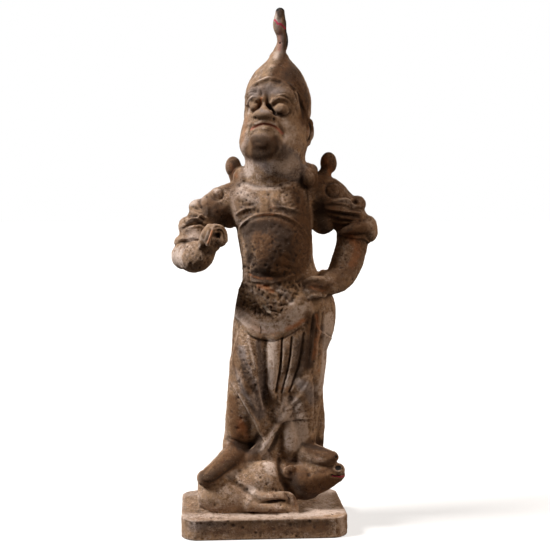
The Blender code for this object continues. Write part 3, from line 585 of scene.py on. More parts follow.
def work_waist(skin):
    """The apron roll with its crack, and the hacked clay above it."""
    upper = [(-41, 326), (-27, 306), (-8, 297), (12, 297), (28, 305), (43, 318), (60, 334)]
    lower = [(76, 310), (69, 299), (51, 282), (33, 271), (10, 265), (-13, 268), (-31, 284), (-44, 306)]
    hacked = [(-36, 346), (6, 348), (50, 354), (56, 338), (30, 309), (-2, 297), (-34, 316)]
    skin.plate([(-34, 346), (6, 348), (50, 354), (48, 328), (28, 311), (-4, 300), (-32, 318)], -1.6)
    skin.plate([*upper, *lower], 2.4, 4.5)
    skin.ridges(
        ([(-5, 283), (-4.5, 279), (-5.5, 274)], 0.9, -2.6),
        ([(-24, 275), (-13, 266), (10, 263), (34, 269), (52, 280)], 1.2, -1.4),
        ([(-36, 352, 0.5), (-12, 350), (10, 352, 0.4)], 2.2, -1.4),
        ([(36, 344, 0.5), (48, 350), (60, 358, 0.5)], 3, -3),
    )
    skin.marks(hacked, 220, (4.5, 1.3), 1.7, 31)
    skin.marks([(-12, 314), (14, 318), (26, 304), (4, 296)], 40, (4, 1.2), -2.2, 32)
    skin.pits(hacked, 160, (0.9, 2.2), 1.3, 33)
    skin.hem([(104, 264), (96, 270), (84, 280), (78, 300)], 10, 3)
    skin.pits([(-40, 300), (70, 300), (50, 275), (-30, 275)], 50, (0.8, 2), 0.7, 35)
    skin.marks([(-44, 346), (-30, 346), (-24, 300), (-36, 290), (-46, 306)], 40, (5, 1.4), 1.5, 36)
    skin.tints(
        "stain_and_shade",
        ([(-18, 342), (10, 330), (34, 332)], 12, 0.2),
        ([(14, 314), (26, 320), (38, 338)], 6, 0.4),
        ([(-10, 310), (4, 306), (12, 300)], 6, 0.5),
        # Painted shadow: a dark line under the apron roll's lower edge.
        ([(-24, 273), (-8, 265), (12, 262), (34, 268)], 1.4, 0.9),
    )
    skin.tints(
        "white",
        ([(-2, 316), (4, 310), (8, 306)], 3.6, 0.8),
        ([(-16, 330), (-4, 326), (6, 328)], 3, 0.5),
    )
    skin.tints(
        "ochre",
        ([(-30, 334), (-20, 324), (-6, 318)], 8, 1.4),
        ([(8, 336), (28, 332), (44, 338)], 12, 1.6),
    )
    skin.tints(
        "slip_and_light",
        ([(-20, 338), (0, 328), (18, 322)], 4, 0.5),
        # Painted light: lifts the shadow that the raised forearm casts on the waist's left.
        ([(-42, 348), (-40, 332), (-42, 316)], 7, 0.9),
        ([(20, 344), (34, 332), (40, 322)], 7, 1),
        ([(-34, 300), (-12, 285), (14, 283), (36, 290), (52, 304)], 9, 1.3),
        ([(40, 300), (56, 312), (66, 322)], 8, 0.5),
    )
    skin.tints(
        "orange",
        ([(-8, 345), (4, 343), (12, 338)], 5, 0.9),
        ([(34, 281), (46, 286), (58, 294)], 5.5, 0.9),
        ([(-16, 282), (2, 278), (20, 276)], 6, 0.5),
    )
    skin.tint("earth_and_shade", [(-40, 316), (-30, 300), (-14, 286)], 9, 0.6)


carving.append((FRONT, (-72, 60), work_waist))
carving.append((FRONT, (-72, 60), work_torso))


# Arms, sleeves and hands
# Hand-rolled arms socketed onto the shoulders, with puffed upper sleeves tied above the elbow. The fist
# is pierced for a shaft that is lost, and the other hand is pressed flat on the hip.

upper_arm = [(-30, 4, 474, 33), (-60, 2, 465, 31), (-82, -2, 452, 27), (-98, -8, 433, 24.5)]
roll([*upper_arm, (-108, -14, 408, 23.5)])
lump((-69, -14, 485), (12, 11, 10), (0, -25, 0))
lump((-50, 2, 446), (14, 17, 14))
lump((-98, -6, 463), (15, 16, 14))
lump((-109, -14, 434), (20, 21, 18))
lump((-126, -12, 411), (9, 12, 10))
lump((-121.5, -18, 390), (18, 18, 20.5))
forearm = [(-112, -26, 390, 22), (-103, -48, 390, 24), (-93, -66, 396.5, 20.5)]
roll([*forearm, (-85, -78, 406, 15), (-79, -86, 412, 14)])
lump((-78, -89, 421.5), (15.5, 14, 16), (0, -30, 0))
lump((-67, -92, 416.5), (10, 12, 10.5))
roll([(-94, -90, 409, 6), (-90, -97, 423, 6.5), (-82, -99, 435, 6)])
roll([(-85, -101, 412, 5), (-81, -105, 422, 5.5), (-76, -103, 433, 5)])
roll([(-75, -99, 436, 5), (-66, -100, 434, 5), (-62, -97, 427, 5.5), (-61, -95, 417, 6)])

roll([(62, 6, 486, 28), (95, 8, 481, 34), (122, 12, 462, 30), (141, 13, 441, 27.5)])
lump((95, 6, 449), (23, 20, 27))
lump((107, -13, 489), (15, 12, 14))
lump((149, 8, 469), (14.5, 17, 13.5))
lump((168, 6, 431), (13.5, 19, 21), (0, -8, 0))
roll([(120, -10, 426, 3), (130, -18, 430, 6), (145, -17, 432, 8), (162, -8, 434, 9)])
roll([(144, 12, 430, 26), (141, 9, 404, 25), (132, 1, 377, 25), (119, -12, 356, 22), (99, -32, 347, 18)])
lump((88, -40, 345), (19, 13, 15))
lump((96, -18, 354), (15, 14, 14))
lump((72, -40, 340), (18, 12, 17))
for finger in range(4):
    knuckle = 356 - 8 * finger
    roll([(90, -46, knuckle - 1, 5), (76, -50, knuckle, 4.8), (64 + 2 * finger, -49, knuckle - 3, 4.2)])


def work_arms(skin):
    """Sleeve folds, the cuffs, the shoulder discs and the deep crease of the elbow."""
    skin.ridges(
        (ring(108, 491, 12), 2, -2.8),
        ([(94, 470, 0.4), (117, 476), (131, 475), (142, 466), (150, 466)], 2.2, 4.8),
        ([(96, 463, 0.4), (123, 459), (150, 454)], 2.2, 4.8),
        ([(98, 467, 0.4), (122, 467), (140, 461, 0.5)], 1.5, -2.4),
        ([(102, 457, 0.4), (126, 453), (148, 449, 0.5)], 1.5, -2.4),
        ([(102, 453, 0.4), (128, 448), (152, 443)], 2.2, 3.6),
        ([(104, 445, 0.4), (126, 440), (146, 441)], 2, 3),
    )
    skin.plate([(136, 472), (143, 476), (147, 472), (141, 468)], -4, 2.5)
    skin.hem([(116, 424), (137, 417), (158, 414), (166, 408)], 8, 3)
    skin.ridges(
        (ring(-70, 485, 10), 2, -1.8),
        ([(-124, 430, 0.4), (-114, 437), (-98, 440), (-88, 436)], 2, -3.6),
        ([(-122, 447, 0.4), (-104, 446), (-92, 452)], 2, 3.4),
        ([(-114, 460, 0.4), (-100, 454), (-86, 447)], 2, 3.2),
        ([(-120, 454, 0.4), (-106, 451), (-94, 449, 0.4)], 1.4, -2.4),
        ([(-90, 484, 0.4), (-96, 474), (-92, 462, 0.4)], 2.2, -2.6),
        ([(-114, 466, 0.4), (-104, 463), (-94, 460, 0.4)], 1.6, -2),
        ([(-86, 470, 0.4), (-84, 458), (-88, 446, 0.4)], 2.2, 2),
    )
    skin.hem([(-134, 408), (-120, 415), (-104, 414), (-94, 415)], 8, 3)
    elbow_crease = [(-120, 409, 0.8), (-123, 396), (-121, 385), (-110, 372), (-96, 367, 0.5)]
    skin.ridges(
        (elbow_crease, 2.6, -6.5),
        ([(-132, 411, 0.5), (-118, 413), (-104, 411), (-94, 409, 0.6)], 2.2, -3.6),
    )
    skin.pits([(-130, 470), (-70, 500), (-60, 440), (-120, 410)], 70, (0.9, 2.2), 0.9, 41)
    skin.pits([(94, 500), (170, 470), (160, 350), (110, 350)], 90, (0.9, 2.2), 0.8, 42)
    skin.marks([(-118, 450), (-88, 452), (-90, 432), (-122, 432)], 16, (6, 1.6), -1.6, 43)
    skin.tints(
        "stain_and_shade",
        # Painted shade in the elbow's crease, a sleeve fold and the cuff's groove; the broad strokes under
        # the arms are partly dirt, partly painted shade.
        (elbow_crease, 2.4, 0.9),
        ([(-116, 441), (-104, 444), (-94, 442)], 3, 1),
        ([(-84, 456), (-68, 442), (-58, 424)], 12, 0.8),
        ([(-110, 417), (-98, 415)], 3, 0.8),
        ([(88, 470), (92, 440), (100, 424)], 12, 0.9),
        ([(110, 450), (130, 452), (140, 448)], 5, 0.5),
        ([(66, 352), (72, 340), (72, 330)], 5, 0.6),
    )
    skin.tints(
        "slip_and_light",
        ([(-108, 472), (-100, 478), (-92, 476)], 8, 1.2),
        # Painted light: lifts the raised forearm's shaded underside.
        ([(-118, 380), (-108, 384), (-98, 374)], 22, 2.6),
        ([(-108, 428), (-102, 422)], 10, 0.8),
        ([(-74, 490), (-66, 492)], 4, 0.9),
        ([(108, 474), (128, 474), (140, 466)], 5, 0.9),
        ([(160, 444), (170, 434), (168, 420)], 7, 0.5),
    )
    skin.tint("ochre", [(-126, 440), (-120, 460), (-110, 480)], 8, 0.5)
    skin.tints(
        "earth_and_shade",
        # Darker on the arm at the hip: partly dirt and partly painted shade where the body shades it.
        ([(88, 500), (100, 470), (112, 446), (130, 436)], 22, 0.85),
        ([(146, 436), (150, 410), (138, 380), (116, 362)], 20, 0.68),
        ([(120, 500), (142, 484), (160, 470)], 14, 0.55),
        ([(-84, 470), (-70, 462), (-56, 450)], 16, 0.9),
        ([(-60, 500), (-46, 490), (-40, 476)], 10, 0.6),
        ([(66, 348), (80, 346), (94, 344)], 10, 0.9),
    )
    skin.tints(
        "orange",
        ([(70, 344), (80, 340), (92, 338)], 4, 0.6),
        ([(136, 420), (146, 400), (138, 376)], 12, 0.6),
    )


def work_fist(skin):
    """The hole for the lost shaft, the grooves between the fingers and the scraped forearm."""
    skin.plate([(-76, 421), (-72, 426), (-68, 426), (-69, 421)], -5, 2)
    skin.ridges(
        ([(-89, 408, 0.5), (-86, 420), (-81, 432, 0.6)], 1.6, -3),
        ([(-80, 410, 0.5), (-78, 420), (-75, 431, 0.6)], 1.6, -3),
        ([(-77, 434, 0.5), (-68, 437), (-60, 431), (-57, 422, 0.5)], 1.4, -2),
        ([(-74, 430, 0.5), (-67, 431), (-62, 426), (-61, 418, 0.5)], 1.4, -2),
    )
    skin.pits([(-122, 372), (-84, 372), (-84, 412), (-122, 408)], 60, (0.8, 2), 0.7, 44)
    skin.marks([(-124, 370), (-84, 370), (-84, 410), (-124, 406)], 34, (6, 2), 0.7, 45)
    skin.tint("orange", [(-85, 413), (-82, 420), (-79, 430)], 2.6, 1)
    # Painted shade inside the hole for the lost shaft.
    skin.tint("stain_and_shade", [(-74, 425), (-70, 424)], 3.2, 1.4)
    skin.tints(
        "slip_and_light",
        ([(-116, 388), (-108, 394), (-104, 404)], 9, 0.35),
        ([(-90, 416), (-84, 432)], 2, 0.6),
    )


carving.append((FRONT, (-60, 60), work_arms))
carving.append((FRONT, (-120, -30), work_fist))


# Knobs behind the shoulders
# Two short knobs on stems rise from a collar that was rolled over the shoulders and pressed down.

lump((-44, 15, 527), (12.5, 12, 16))
roll([(-42, 14, 514, 9), (-34, 10, 500, 14)])
lump((105, 15, 533), (13, 12, 17))
roll([(100, 14, 518, 10), (90, 10, 500, 15)])
roll([(52, 18, 520, 10), (66, 2, 522, 12), (74, -10, 519, 12)])
lump((66, -20, 511), (18, 15, 14), (0, 35, 0))
lump((73, -23, 506), (11, 9, 13), (0, 20, 0))
roll([(-22, 18, 518, 11), (-32, 0, 512, 12), (-34, -18, 500, 10)])


def work_collar(skin):
    """The end of the rolled collar, pressed into an oval button at the guardian's left."""
    skin.ridges(
        (ring(70, 507, 11, 1.2), 1.8, -1.4),
        ([(60, 524, 0.5), (57, 510), (59, 496, 0.5)], 2.6, -1.6),
    )
    skin.tints(
        "stain_and_shade",
        ([(60, 520), (57, 508), (60, 495), (70, 492)], 2, 0.6),
        ([(84, 526), (98, 520)], 6, 0.8),
    )
    skin.tints(
        "orange",
        ([(-50, 532), (-44, 520), (-40, 512)], 7, 0.5),
        ([(98, 540), (104, 528), (108, 516)], 7, 0.6),
    )
    skin.tints(
        "earth_and_shade",
        ([(-44, 540), (-46, 522), (-40, 508)], 12, 0.9),
        ([(104, 548), (104, 530), (98, 512)], 13, 1.4),
    )
    skin.tints(
        "slip_and_light",
        ([(72, 516), (78, 506), (74, 496)], 3, 0.5),
        ([(-36, 512), (-40, 500), (-44, 490)], 6, 0.6),
    )


carving.append((FRONT, (-72, 60), work_collar))


# Head and face
# A hollow head closed with a plug and modelled by hand: swollen brows over bulging eyes, a flat nose, a
# drawn-down mouth and a broad chin. Grey slip lies on the forehead, and orange clay shows in the hollows.

FACE_MIDDLE = (20, 0, 590)
FACE_TURN = -18.0
FACE_TIP = -9.0
FACE_LEAN = 4.0
face_spin = Euler([math.radians(a) for a in (FACE_TIP, FACE_LEAN, FACE_TURN)]).to_matrix().to_4x4()
FACE = FRONT @ Matrix.Translation(FACE_MIDDLE) @ face_spin

loft(
    [
        (496, 18, 2, 44, 38),
        (510, 20, 0, 46, 46),
        (525, 20, -2, 46, 50),
        (543, 19.5, -4, 47, 54),
        (561, 17.5, -4, 52.5, 55),
        (580, 18.5, -3, 51, 53),
        (598, 21.5, 1, 49.5, 51),
        (617, 25, 3, 50.5, 51),
        (634, 25, 4, 50, 51),
        (653, 24, 4, 45, 48),
        (671, 24.5, 4, 35.5, 39),
        (680, 25.5, 3, 27, 31),
        (689, 26, 2, 18, 22),
        (699, 25, 1, 9.5, 11),
    ]
)
lump((57, 8, 612), (19, 24, 22))
lump((-1, -33, 50), (37, 19, 24), view=FACE)
lump((0, -34, -42), (34, 20, 24), view=FACE)
lump((-5, -45, -35), (20, 15, 17), view=FACE)
lump((-1, -46, -9), (26, 12, 11), view=FACE)
lump((-5, -48, 13), (7, 12, 18), view=FACE)
roll([(-7, -50, 30, 2.0), (-6.5, -54, 21, 2.2), (-4.5, -58, 9, 7)], FACE)
lump((-3.5, -58, 3), (15.5, 10, 8.5), view=FACE)
for side in (-1, 1):
    brow = [(4, -49, 29, 4), (11, -50, 35, 8), (21, -49, 38, 10.5), (31, -43, 34, 9.5), (38, -32, 24, 5)]
    swelling = 1.12 if side > 0 else 0.94
    roll([(side * x, y, z, swelling * radius) for x, y, z, radius in brow], FACE)
    lid = [(5, -53, 21, 3), (11, -57, 26.5, 4.6), (20, -57, 29, 5.4), (29, -50, 27, 4.6), (35, -41, 21, 3)]
    roll([(side * x, *rest) for x, *rest in lid], FACE)
    lump((side * 18, -35, 46), (19, 19, 14), view=FACE)
    socket = (14, 12, 12) if side > 0 else (11, 11.5, 10)
    lump((side * 20, -43, 20), socket, (0, 0, side * 18), FACE)
    eyeball = (11, 13, 10.5) if side > 0 else (8, 10.5, 7)
    lump((side * 20, -48, 14), eyeball, (0, 0, side * 18), FACE)
    lump((side * 14 - 2.5, -51, 1), (7, 8, 6), view=FACE)
    lump((side * 22, -22, -8), (22, 24, 30), view=FACE)
    lump((side * 19, -19, -32), (28, 31, 32), view=FACE)
lump((-25, -16, 6), (14, 20, 24), view=FACE)
roll([(-33, -34, 8, 2.5), (-26, -42, 5, 3.5), (-17, -48, 5, 3.0)], FACE)
roll([(-32, -38, 22, 3), (-23, -46, 25, 4), (-14, -49, 22, 3)], FACE)
upper_lip = [(-26, -41, -17, 3), (-14, -52, -11.5, 3.8), (-1, -56, -8, 4.4), (14, -51, -12, 3.8)]
roll([*upper_lip, (26, -40, -20, 3)], FACE)
roll([(-21, -44, -23, 3), (-1, -54, -17.5, 4.4), (20, -43, -26, 3)], FACE)
lump((71.5, -8, 583), (8, 10, 18), (0, -6, -20))
lump((69.5, -8, 570), (6, 8, 12), (0, -6, -20))
lump((-26, 24, 574), (6, 9, 19))


def work_face(skin):
    """Lids, the hollows beside the nose's root, nostrils, lips and the dimple in the chin."""
    under_eyes = (
        [(-2.5, 29, 0.3), (-1.5, 23, 0.9), (3, 16, 1.4), (10, 8, 1.3), (19, 4), (27, 6, 0.7), (33, 12, 0.3)],
        [(-10.5, 29, 0.3), (-11, 22, 0.9), (-13, 15), (-19, 8, 0.6), (-26, 7, 0.35), (-31, 11, 0.1)],
    )
    # Painted shade: the grooves under the eyes and the lid creases are darkened in step with their depth, and
    # the nostrils darkened.
    for path, depth in zip(under_eyes, (-4.4, -2.2)):
        skin.ridge(path, 2.2, depth)
        skin.tint("stain_and_shade", path, 1.6, -0.17 * depth)
    for side in (-1, 1):
        for rise, depth in ((1.0, -0.9), (6.5, -1.3), (9, 0.7), (11.5, -0.5)):
            crease = [(8, 17, 0.3), (12, 22.5), (20, 25), (28, 22.5, 0.8), (33, 16, 0.3)]
            skin.ridge([(side * x * (1 + rise / 60), z + rise, *rest) for x, z, *rest in crease], 1.4, depth)
            if depth < 0:
                skin.tint("stain_and_shade", [(side * x, z + rise) for x, z, *_ in crease], 1.1, -0.2 * depth)
        skin.plate(ring(side * 14 - 2, -3.5, 1.6), -2.6, 1.6)
        skin.tint("stain_and_shade", ring(side * 14 - 2, -3.5, 0.8), 1.2, 0.8)
    skin.ridges(
        ([(30, 23, 0.3), (34.5, 14), (31, 4, 0.3)], 1.5, 1.4),
        ([(34, 22, 0.3), (38, 13), (35, 2, 0.3)], 1.4, 0.9),
        ([(-28, 22, 0.3), (-31, 14), (-29, 5, 0.3)], 1.4, 1.1),
        ([(-10, 25, 0.3), (-17, 24), (-25, 19, 0.3)], 1.5, 1.3),
        ([(17, -2, 0.5), (20, -10), (25, -20), (29, -30, 0.4)], 3, -2.4),
        ([(-20, -3, 0.5), (-25, -12), (-27, -22, 0.4)], 2.4, -2),
        ([(-14, 40, 0.3), (-11, 36), (-10.5, 31, 0.5)], 2, -2.2),
        ([(-22, 44, 0.3), (-20, 38), (-24, 33, 0.3)], 2.4, -1.4),
    )
    lips_meet = [(-25, -19, 0.5), (-14, -15), (-1, -12), (14, -14.5), (26, -22, 0.6)]
    skin.ridges(
        (lips_meet, 1.4, -1.7),
        ([(-17, -43, 0.5), (-9, -39), (0, -42, 0.5)], 1.8, -1),
        ([(15, -26, 0.4), (20, -36), (19, -48), (12, -58, 0.4)], 4, -2.6),
        ([(-24, -28, 0.4), (-28, -38), (-26, -50, 0.4)], 4, -2),
    )
    skin.pits([(-20, -60), (30, -60), (40, 0), (-20, -30)], 40, (0.7, 1.6), 0.5, 51)
    skin.ridge([(24, 55, 0.4), (36, 45), (44, 28), (48, 10, 0.5)], 2.2, -2.2)
    # Painted shade beside the nose, along the mouth's right half and in the crease under the brim's right
    # side.
    skin.tints(
        "stain_and_shade",
        ([(20, -8, 0.3), (24, -17, 0.5), (28, -26), (30, -34, 0.6)], 2.2, 0.5),
        ([(-21, -4, 0.4), (-25, -12), (-27, -20, 0.4)], 1.6, 0.5),
        ([(8, -12.5), (18, -16.5), (26, -23)], 1.2, 0.5),
        ([(26, 54, 0.5), (36, 45), (44, 28), (48, 10)], 2.4, 0.8),
    )
    skin.tint("lip", [(x, z + 0.8) for x, z, *_ in lips_meet], 2, 1.3)
    # Painted light: a highlight on the lower lip, and light on the upper lip, the right cheek, the forehead
    # under the brim and the neck's left, lifting shade there.
    skin.tints(
        "slip_and_light",
        ([(-20, -19), (-12, -17), (0, -15), (14, -18)], 2, 0.35),
        ([(-17, -10), (-1, -6.5), (14, -10)], 3.2, 0.55),
        ([(26, -4), (36, -14), (36, -30)], 13, 0.6),
        ([(-24, -44), (-30, -30), (-30, -12)], 6, 0.5),
        ([(-16, 44), (0, 50), (14, 47)], 5, 0.6),
        ([(-26, 30), (-32, 22), (-33, 8)], 4, 0.7),
        ([(14, -66), (30, -70), (40, -60)], 12, 0.8),
        ([(-30, -48), (-30, -64), (-28, -76)], 10, 1.6),
    )
    skin.tints(
        "earth_and_shade",
        ([(18, -30), (22, -42), (18, -54)], 5, 0.5),
        ([(-26, 40), (-4, 42), (24, 42)], 12, 0.42),
        ([(-22, 14), (-16, 14)], 8, 0.5),
        ([(16, 12), (26, 14)], 8, 0.4),
        ([(6, 32), (18, 29), (32, 24)], 4, 0.4),
        # Painted shade: these two strokes darken the chin, which faces down out of the light.
        ([(-22, -50), (0, -56), (16, -50)], 12, 1.2),
        ([(-16, -36), (0, -35), (16, -38)], 10, 0.9),
        ([(36, -52), (46, -64), (44, -78)], 12, 0.4),
    )
    skin.tints(
        "orange",
        ([(-11, 15), (-10.5, 21), (-9.5, 27)], 1.8, 1.5),
        ([(-2, 26), (0, 21)], 1.2, 0.6),
        ([(-34, 0), (-36, -20), (-34, -40)], 8, 0.5),
    )
    skin.tints(
        "grey",
        ([(-24, 36), (-4, 42), (16, 42)], 13, 0.9),
        ([(-16, -32), (4, -34), (16, -44)], 12, 0.7),
        ([(-10, 10), (-2, 6), (8, 6)], 6, 0.7),
        ([(-8, -60), (20, -74), (36, -70)], 14, 1.2),
        ([(34, -50), (46, -62), (46, -76)], 12, 1.2),
    )
    skin.tints(
        "rubbed",
        ([(-30, 30), (0, 40), (30, 30)], 22, 0.8),
        ([(-26, -4), (0, 4), (26, -4)], 16, 1.2),
        ([(-24, -34), (0, -36), (30, -34)], 18, 1),
    )


def work_ear(skin):
    """The ear's hollow is one push of the thumb."""
    skin.ridge([(73, 592, 0.5), (76, 584), (75.5, 573), (71, 565, 0.5)], 2.4, -6)
    # Painted shade in the ear's hollow, and a painted highlight along its rim.
    skin.tint("stain_and_shade", [(74, 591), (75.5, 580), (73, 568)], 2, 1.6)
    skin.tint("slip_and_light", [(78, 592), (80, 580), (77, 566)], 1.8, 0.6)
    skin.tint("orange", [(70, 586), (69, 574)], 3, 0.5)


carving.append((FACE, (-90, 60), work_face))
carving.append((FRONT, (-72, 60), work_ear))


# Cap and crest
# A close cap with a soft brim and a keel up its front, ending in a tall crest whose bulb keeps a zigzag
# of red paint, a blackened tip and, behind it, a chip of black paint.

brim = [(-22, -19, 635, 2.2), (-10, -31, 648, 2.4), (12, -38, 657, 2.4), (31, -39, 657, 2.8)]
roll([*brim, (47, -34, 646, 3), (60, -24, 624, 3), (67, -13, 604, 2.5)])
crest = [(26, 1, 690, 15.5), (26, 0, 699, 10.5), (29, -2, 708, 8.5), (30.5, -3, 717, 7.5), (30, -4, 726, 7.5)]
roll([*crest, (28, -5, 735, 9.5), (27, -5, 744, 10), (27, -5, 753, 8.5), (27.5, -5, 761, 7)])
roll([(34.5, 0, 735, 2.4), (37, 1, 724, 3), (37, 2, 712, 2.8), (34, 2, 702, 2.4)])

# In shares, counted up from the middle of the face
BRIM_AT_BROW = 60
BRIM_FALL_TO_NAPE = 38
BRIM_DIP_AT_EARS = 14
BRIM_SLOPE = 4
CAP_REACH = 62
CAP_THICKNESS = 1.2
CAP_FADE = 50


def work_cap(skin):
    """The cap's brim runs over the brow, down in front of the ears and low round the nape."""
    local = (skin.points - np.array(FRONT @ Vector(FACE_MIDDLE))) / SHARE
    around = np.arctan2(local[:, 0], -local[:, 1]) - math.radians(FACE_TURN)
    edge = BRIM_AT_BROW - BRIM_FALL_TO_NAPE * (1 - np.cos(around))
    edge = edge - BRIM_DIP_AT_EARS * np.maximum(-np.cos(2 * around), 0)
    above = local[:, 2] - edge
    rise = np.clip(above / BRIM_SLOPE + 0.5, 0.0, 1.0)
    seen = skin.seen.copy()
    skin.seen[:] = np.hypot(local[:, 0], local[:, 1]) < CAP_REACH
    skin.push(CAP_THICKNESS * rise * rise * (3 - 2 * rise) * np.exp(-np.maximum(above, 0) / CAP_FADE))
    skin.seen[:] = seen


def work_keel(skin):
    """A keel runs from the crest down to the folded brim, a little to the side."""
    brim_fold = [(-30, 46, 0.4), (-16, 56), (0, 60), (12, 58), (24, 54), (38, 45), (47, 28), (51, 10, 0.4)]
    skin.ridges(
        ([(-3, 62, 0.4), (-2, 76, 0.9), (0, 92), (4, 106, 0.6)], 8.5, 4.4),
        (brim_fold, 1.8, 1.7),
        ([(-26, 44, 0.3), (-14, 52), (0, 55.5), (12, 54), (24, 49.5, 0.4)], 1.6, -1.2),
    )
    skin.marks([(-26, 44), (-4, 64), (34, 54), (34, 48), (0, 55)], 22, (3.5, 1.3), 0.7, 52)
    skin.tints(
        "slip_and_light",
        ([(-18, 66), (-16, 80), (-8, 98)], 13, 0.35),
        ([(-28, 48, 0.4), (-14, 57), (0, 61), (12, 59), (24, 55)], 2.2, 0.4),
    )
    # Painted shade, partly the cap's own dark brown: the strokes below darken the cap's right side, turned
    # from the main lamp.
    skin.tints(
        "earth_and_shade",
        ([(18, 66), (24, 84), (24, 100)], 15, 2.6),
        ([(34, 68), (46, 50), (54, 26), (54, 6)], 9, 2),
    )
    skin.tint("ochre", [(18, 66), (24, 84), (24, 100)], 15, 0.9)
    skin.tint("stain_and_shade", [(22, 66), (28, 84), (26, 100)], 16, 0.68)
    skin.tint("rubbed", [(-10, 66), (-8, 84), (-2, 100)], 12, 0.8)
    skin.tint("orange", [(46, 20), (47, 6)], 6, 0.3)


def work_crest(skin):
    """The crest's small pit, and the paint left on it."""
    skin.plate(ring(27, 714, 1.4), -1.6, 1.2)
    skin.tints(
        "slip_and_light",
        ([(20, 688), (24, 706), (26, 722)], 5, 0.4),
        ([(20, 748), (21, 756)], 4, 0.8),
    )
    skin.tints(
        "grey",
        ([(32, 700), (34, 712), (33, 724)], 3, 0.8),
        ([(24, 762), (24, 744), (27, 726), (28, 706), (26, 692)], 9, 0.7),
    )
    skin.tints(
        "black",
        ([(22, 765), (27, 768), (33, 765)], 3.6, 1.4),
        ([(37, 733), (39.5, 723), (39, 711)], 2.4, 1.6),
        (ring(27, 714, 0.6), 1.4, 1),
    )
    skin.tints(
        "stain_and_shade",
        ([(26, 764), (27, 756), (27, 750, 0.5)], 5, 1),
        ([(33, 762), (35, 750), (36, 740)], 2.6, 0.9),
    )
    skin.tint("lip", [(26, 738), (27, 722), (26, 704)], 7, 0.62)
    skin.tint("rubbed", [(26, 764), (26, 736), (28, 704)], 12, 1)
    skin.tint("earth_and_shade", [(34, 748), (36, 730), (36, 706)], 4, 0.9)
    skin.tints(
        "red",
        ([(16, 750), (20, 747), (24, 742), (27, 743), (31, 738), (35, 736)], 1.5, 1.3),
        ([(20, 713), (25, 714)], 0.9, 0.5),
    )
    skin.tint("orange", [(35, 736), (36, 728), (35, 720)], 2.4, 0.4)


carving.append((FRONT, (-72, 80), work_cap))
carving.append((FACE, (-90, 60), work_keel))
carving.append((FRONT, (-72, 60), work_crest))


# Back of the figure
# Plainer than the front, as on a piece made to stand against a tomb's wall: a seam down the back plate,
# a belt, and long folds drawn down the skirt with one finger.


def work_back(skin):
    """The seam, the belt and the skirt's long folds."""
    skin.ridge([(-18, 492), (-22, 420), (-27, 356)], 2.4, -2.6)
    skin.hem([(-90, 366), (-60, 360), (-27, 356), (0, 360), (30, 368)], 8, 3)
    skin.ridge([(-96, 338), (-60, 330), (-27, 327), (10, 330), (40, 338)], 3.6, 3.4)
    for fold in range(7):
        top, foot = -82 + 18 * fold, -78 + 20 * fold
        skin.ridge([(top, 312, 0.4), (top + 3, 250), (foot, 160), (foot - 2, 70, 0.5)], 4.6, -4.0)
        skin.ridge([(top + 9, 306, 0.3), (top + 12, 230), (foot + 10, 120, 0.6)], 4.0, 2.6)
    skin.pits([(-90, 500), (60, 500), (60, 30), (-90, 30)], 160, (0.9, 2.4), 0.9, 61)
    skin.tints(
        "stain_and_shade",
        ([(-60, 340), (-20, 334), (30, 342)], 8, 0.6),
        ([(-50, 200), (-30, 140), (0, 80)], 22, 0.5),
        ([(-30, 470), (-26, 420), (-30, 380)], 14, 0.5),
    )
    skin.tints(
        "slip_and_light",
        ([(-60, 470), (-62, 440), (-56, 400)], 14, 0.6),
        ([(20, 280), (26, 220), (20, 160)], 14, 0.6),
        ([(-70, 280), (-66, 240), (-70, 200)], 12, 0.5),
    )
    skin.tint("grey", [(-20, 620), (-10, 590), (-20, 560)], 20, 0.6)
    skin.tint("ochre", [(0, 300), (-10, 200), (0, 120)], 24, 0.5)


carving.append((BACK, (-72, 60), work_back))


# Pressing, tooling and thinning
# The lumps are pressed into one skin and stroked smooth, then tooled while leather-hard: the strokes
# named with each part above are drawn here, on the view from the front of their own frame.

FUSING_GRAIN = 0.0011
STROKING_WEIGHT = 0.5
STROKING_ROUNDS = 5
FIGURE_TRIANGLES = 188000

# A round averages each point with its neighbours once. Strokes fade out on clay that is nearly edge-on
# to their view, and the joints' depth is in shares
PATH_STEPS = 5
NORMAL_ROUNDS = 8
GLANCING = 0.05
GLANCING_TO_FULL = 0.4
JOINT_PASSES = 3
JOINT_ROUNDS = 10
JOINT_DEPTH = 2.0
JOINT_FILLING = 1.4
HOLLOW_ROUNDS = 14
CREASE_DIRT_AND_SHADE_GAIN = 1.6

# The hand's two swells and burial's crust: a height in shares, a size in metres and a seed
UNEVENNESS = ((0.35, 0.014, 1), (0.30, 0.006, 2), (0.25, 0.0034, 3))
EVEN_UNDERSIDE = 0.002
UNDERSIDE_FADE = 0.004

# The skin stays this far inside the solid's box, in metres
SIDE_MARGIN = 0.0002
TOP_MARGIN = 0.0001

PAINTS = ("stain_and_shade", "earth_and_shade", "slip_and_light", "grey", "ochre", "orange", "rubbed", "lip", "red", "white", "black")

together = bmesh.new()
for mesh in clay:
    together.from_mesh(mesh)
    bpy.data.meshes.remove(mesh)
pressed = bpy.data.meshes.new("pressed clay")
together.to_mesh(pressed)
together.free()
rough = bpy.data.objects.new("pressed clay", pressed)
bpy.context.scene.collection.objects.link(rough)
fusing = rough.modifiers.new("fusing", "REMESH")
fusing.mode = "VOXEL"
fusing.voxel_size = FUSING_GRAIN
stroking = rough.modifiers.new("stroking", "SMOOTH")
stroking.factor = STROKING_WEIGHT
stroking.iterations = STROKING_ROUNDS
figure_mesh = bpy.data.meshes.new_from_object(rough.evaluated_get(bpy.context.evaluated_depsgraph_get()))
bpy.data.objects.remove(rough)


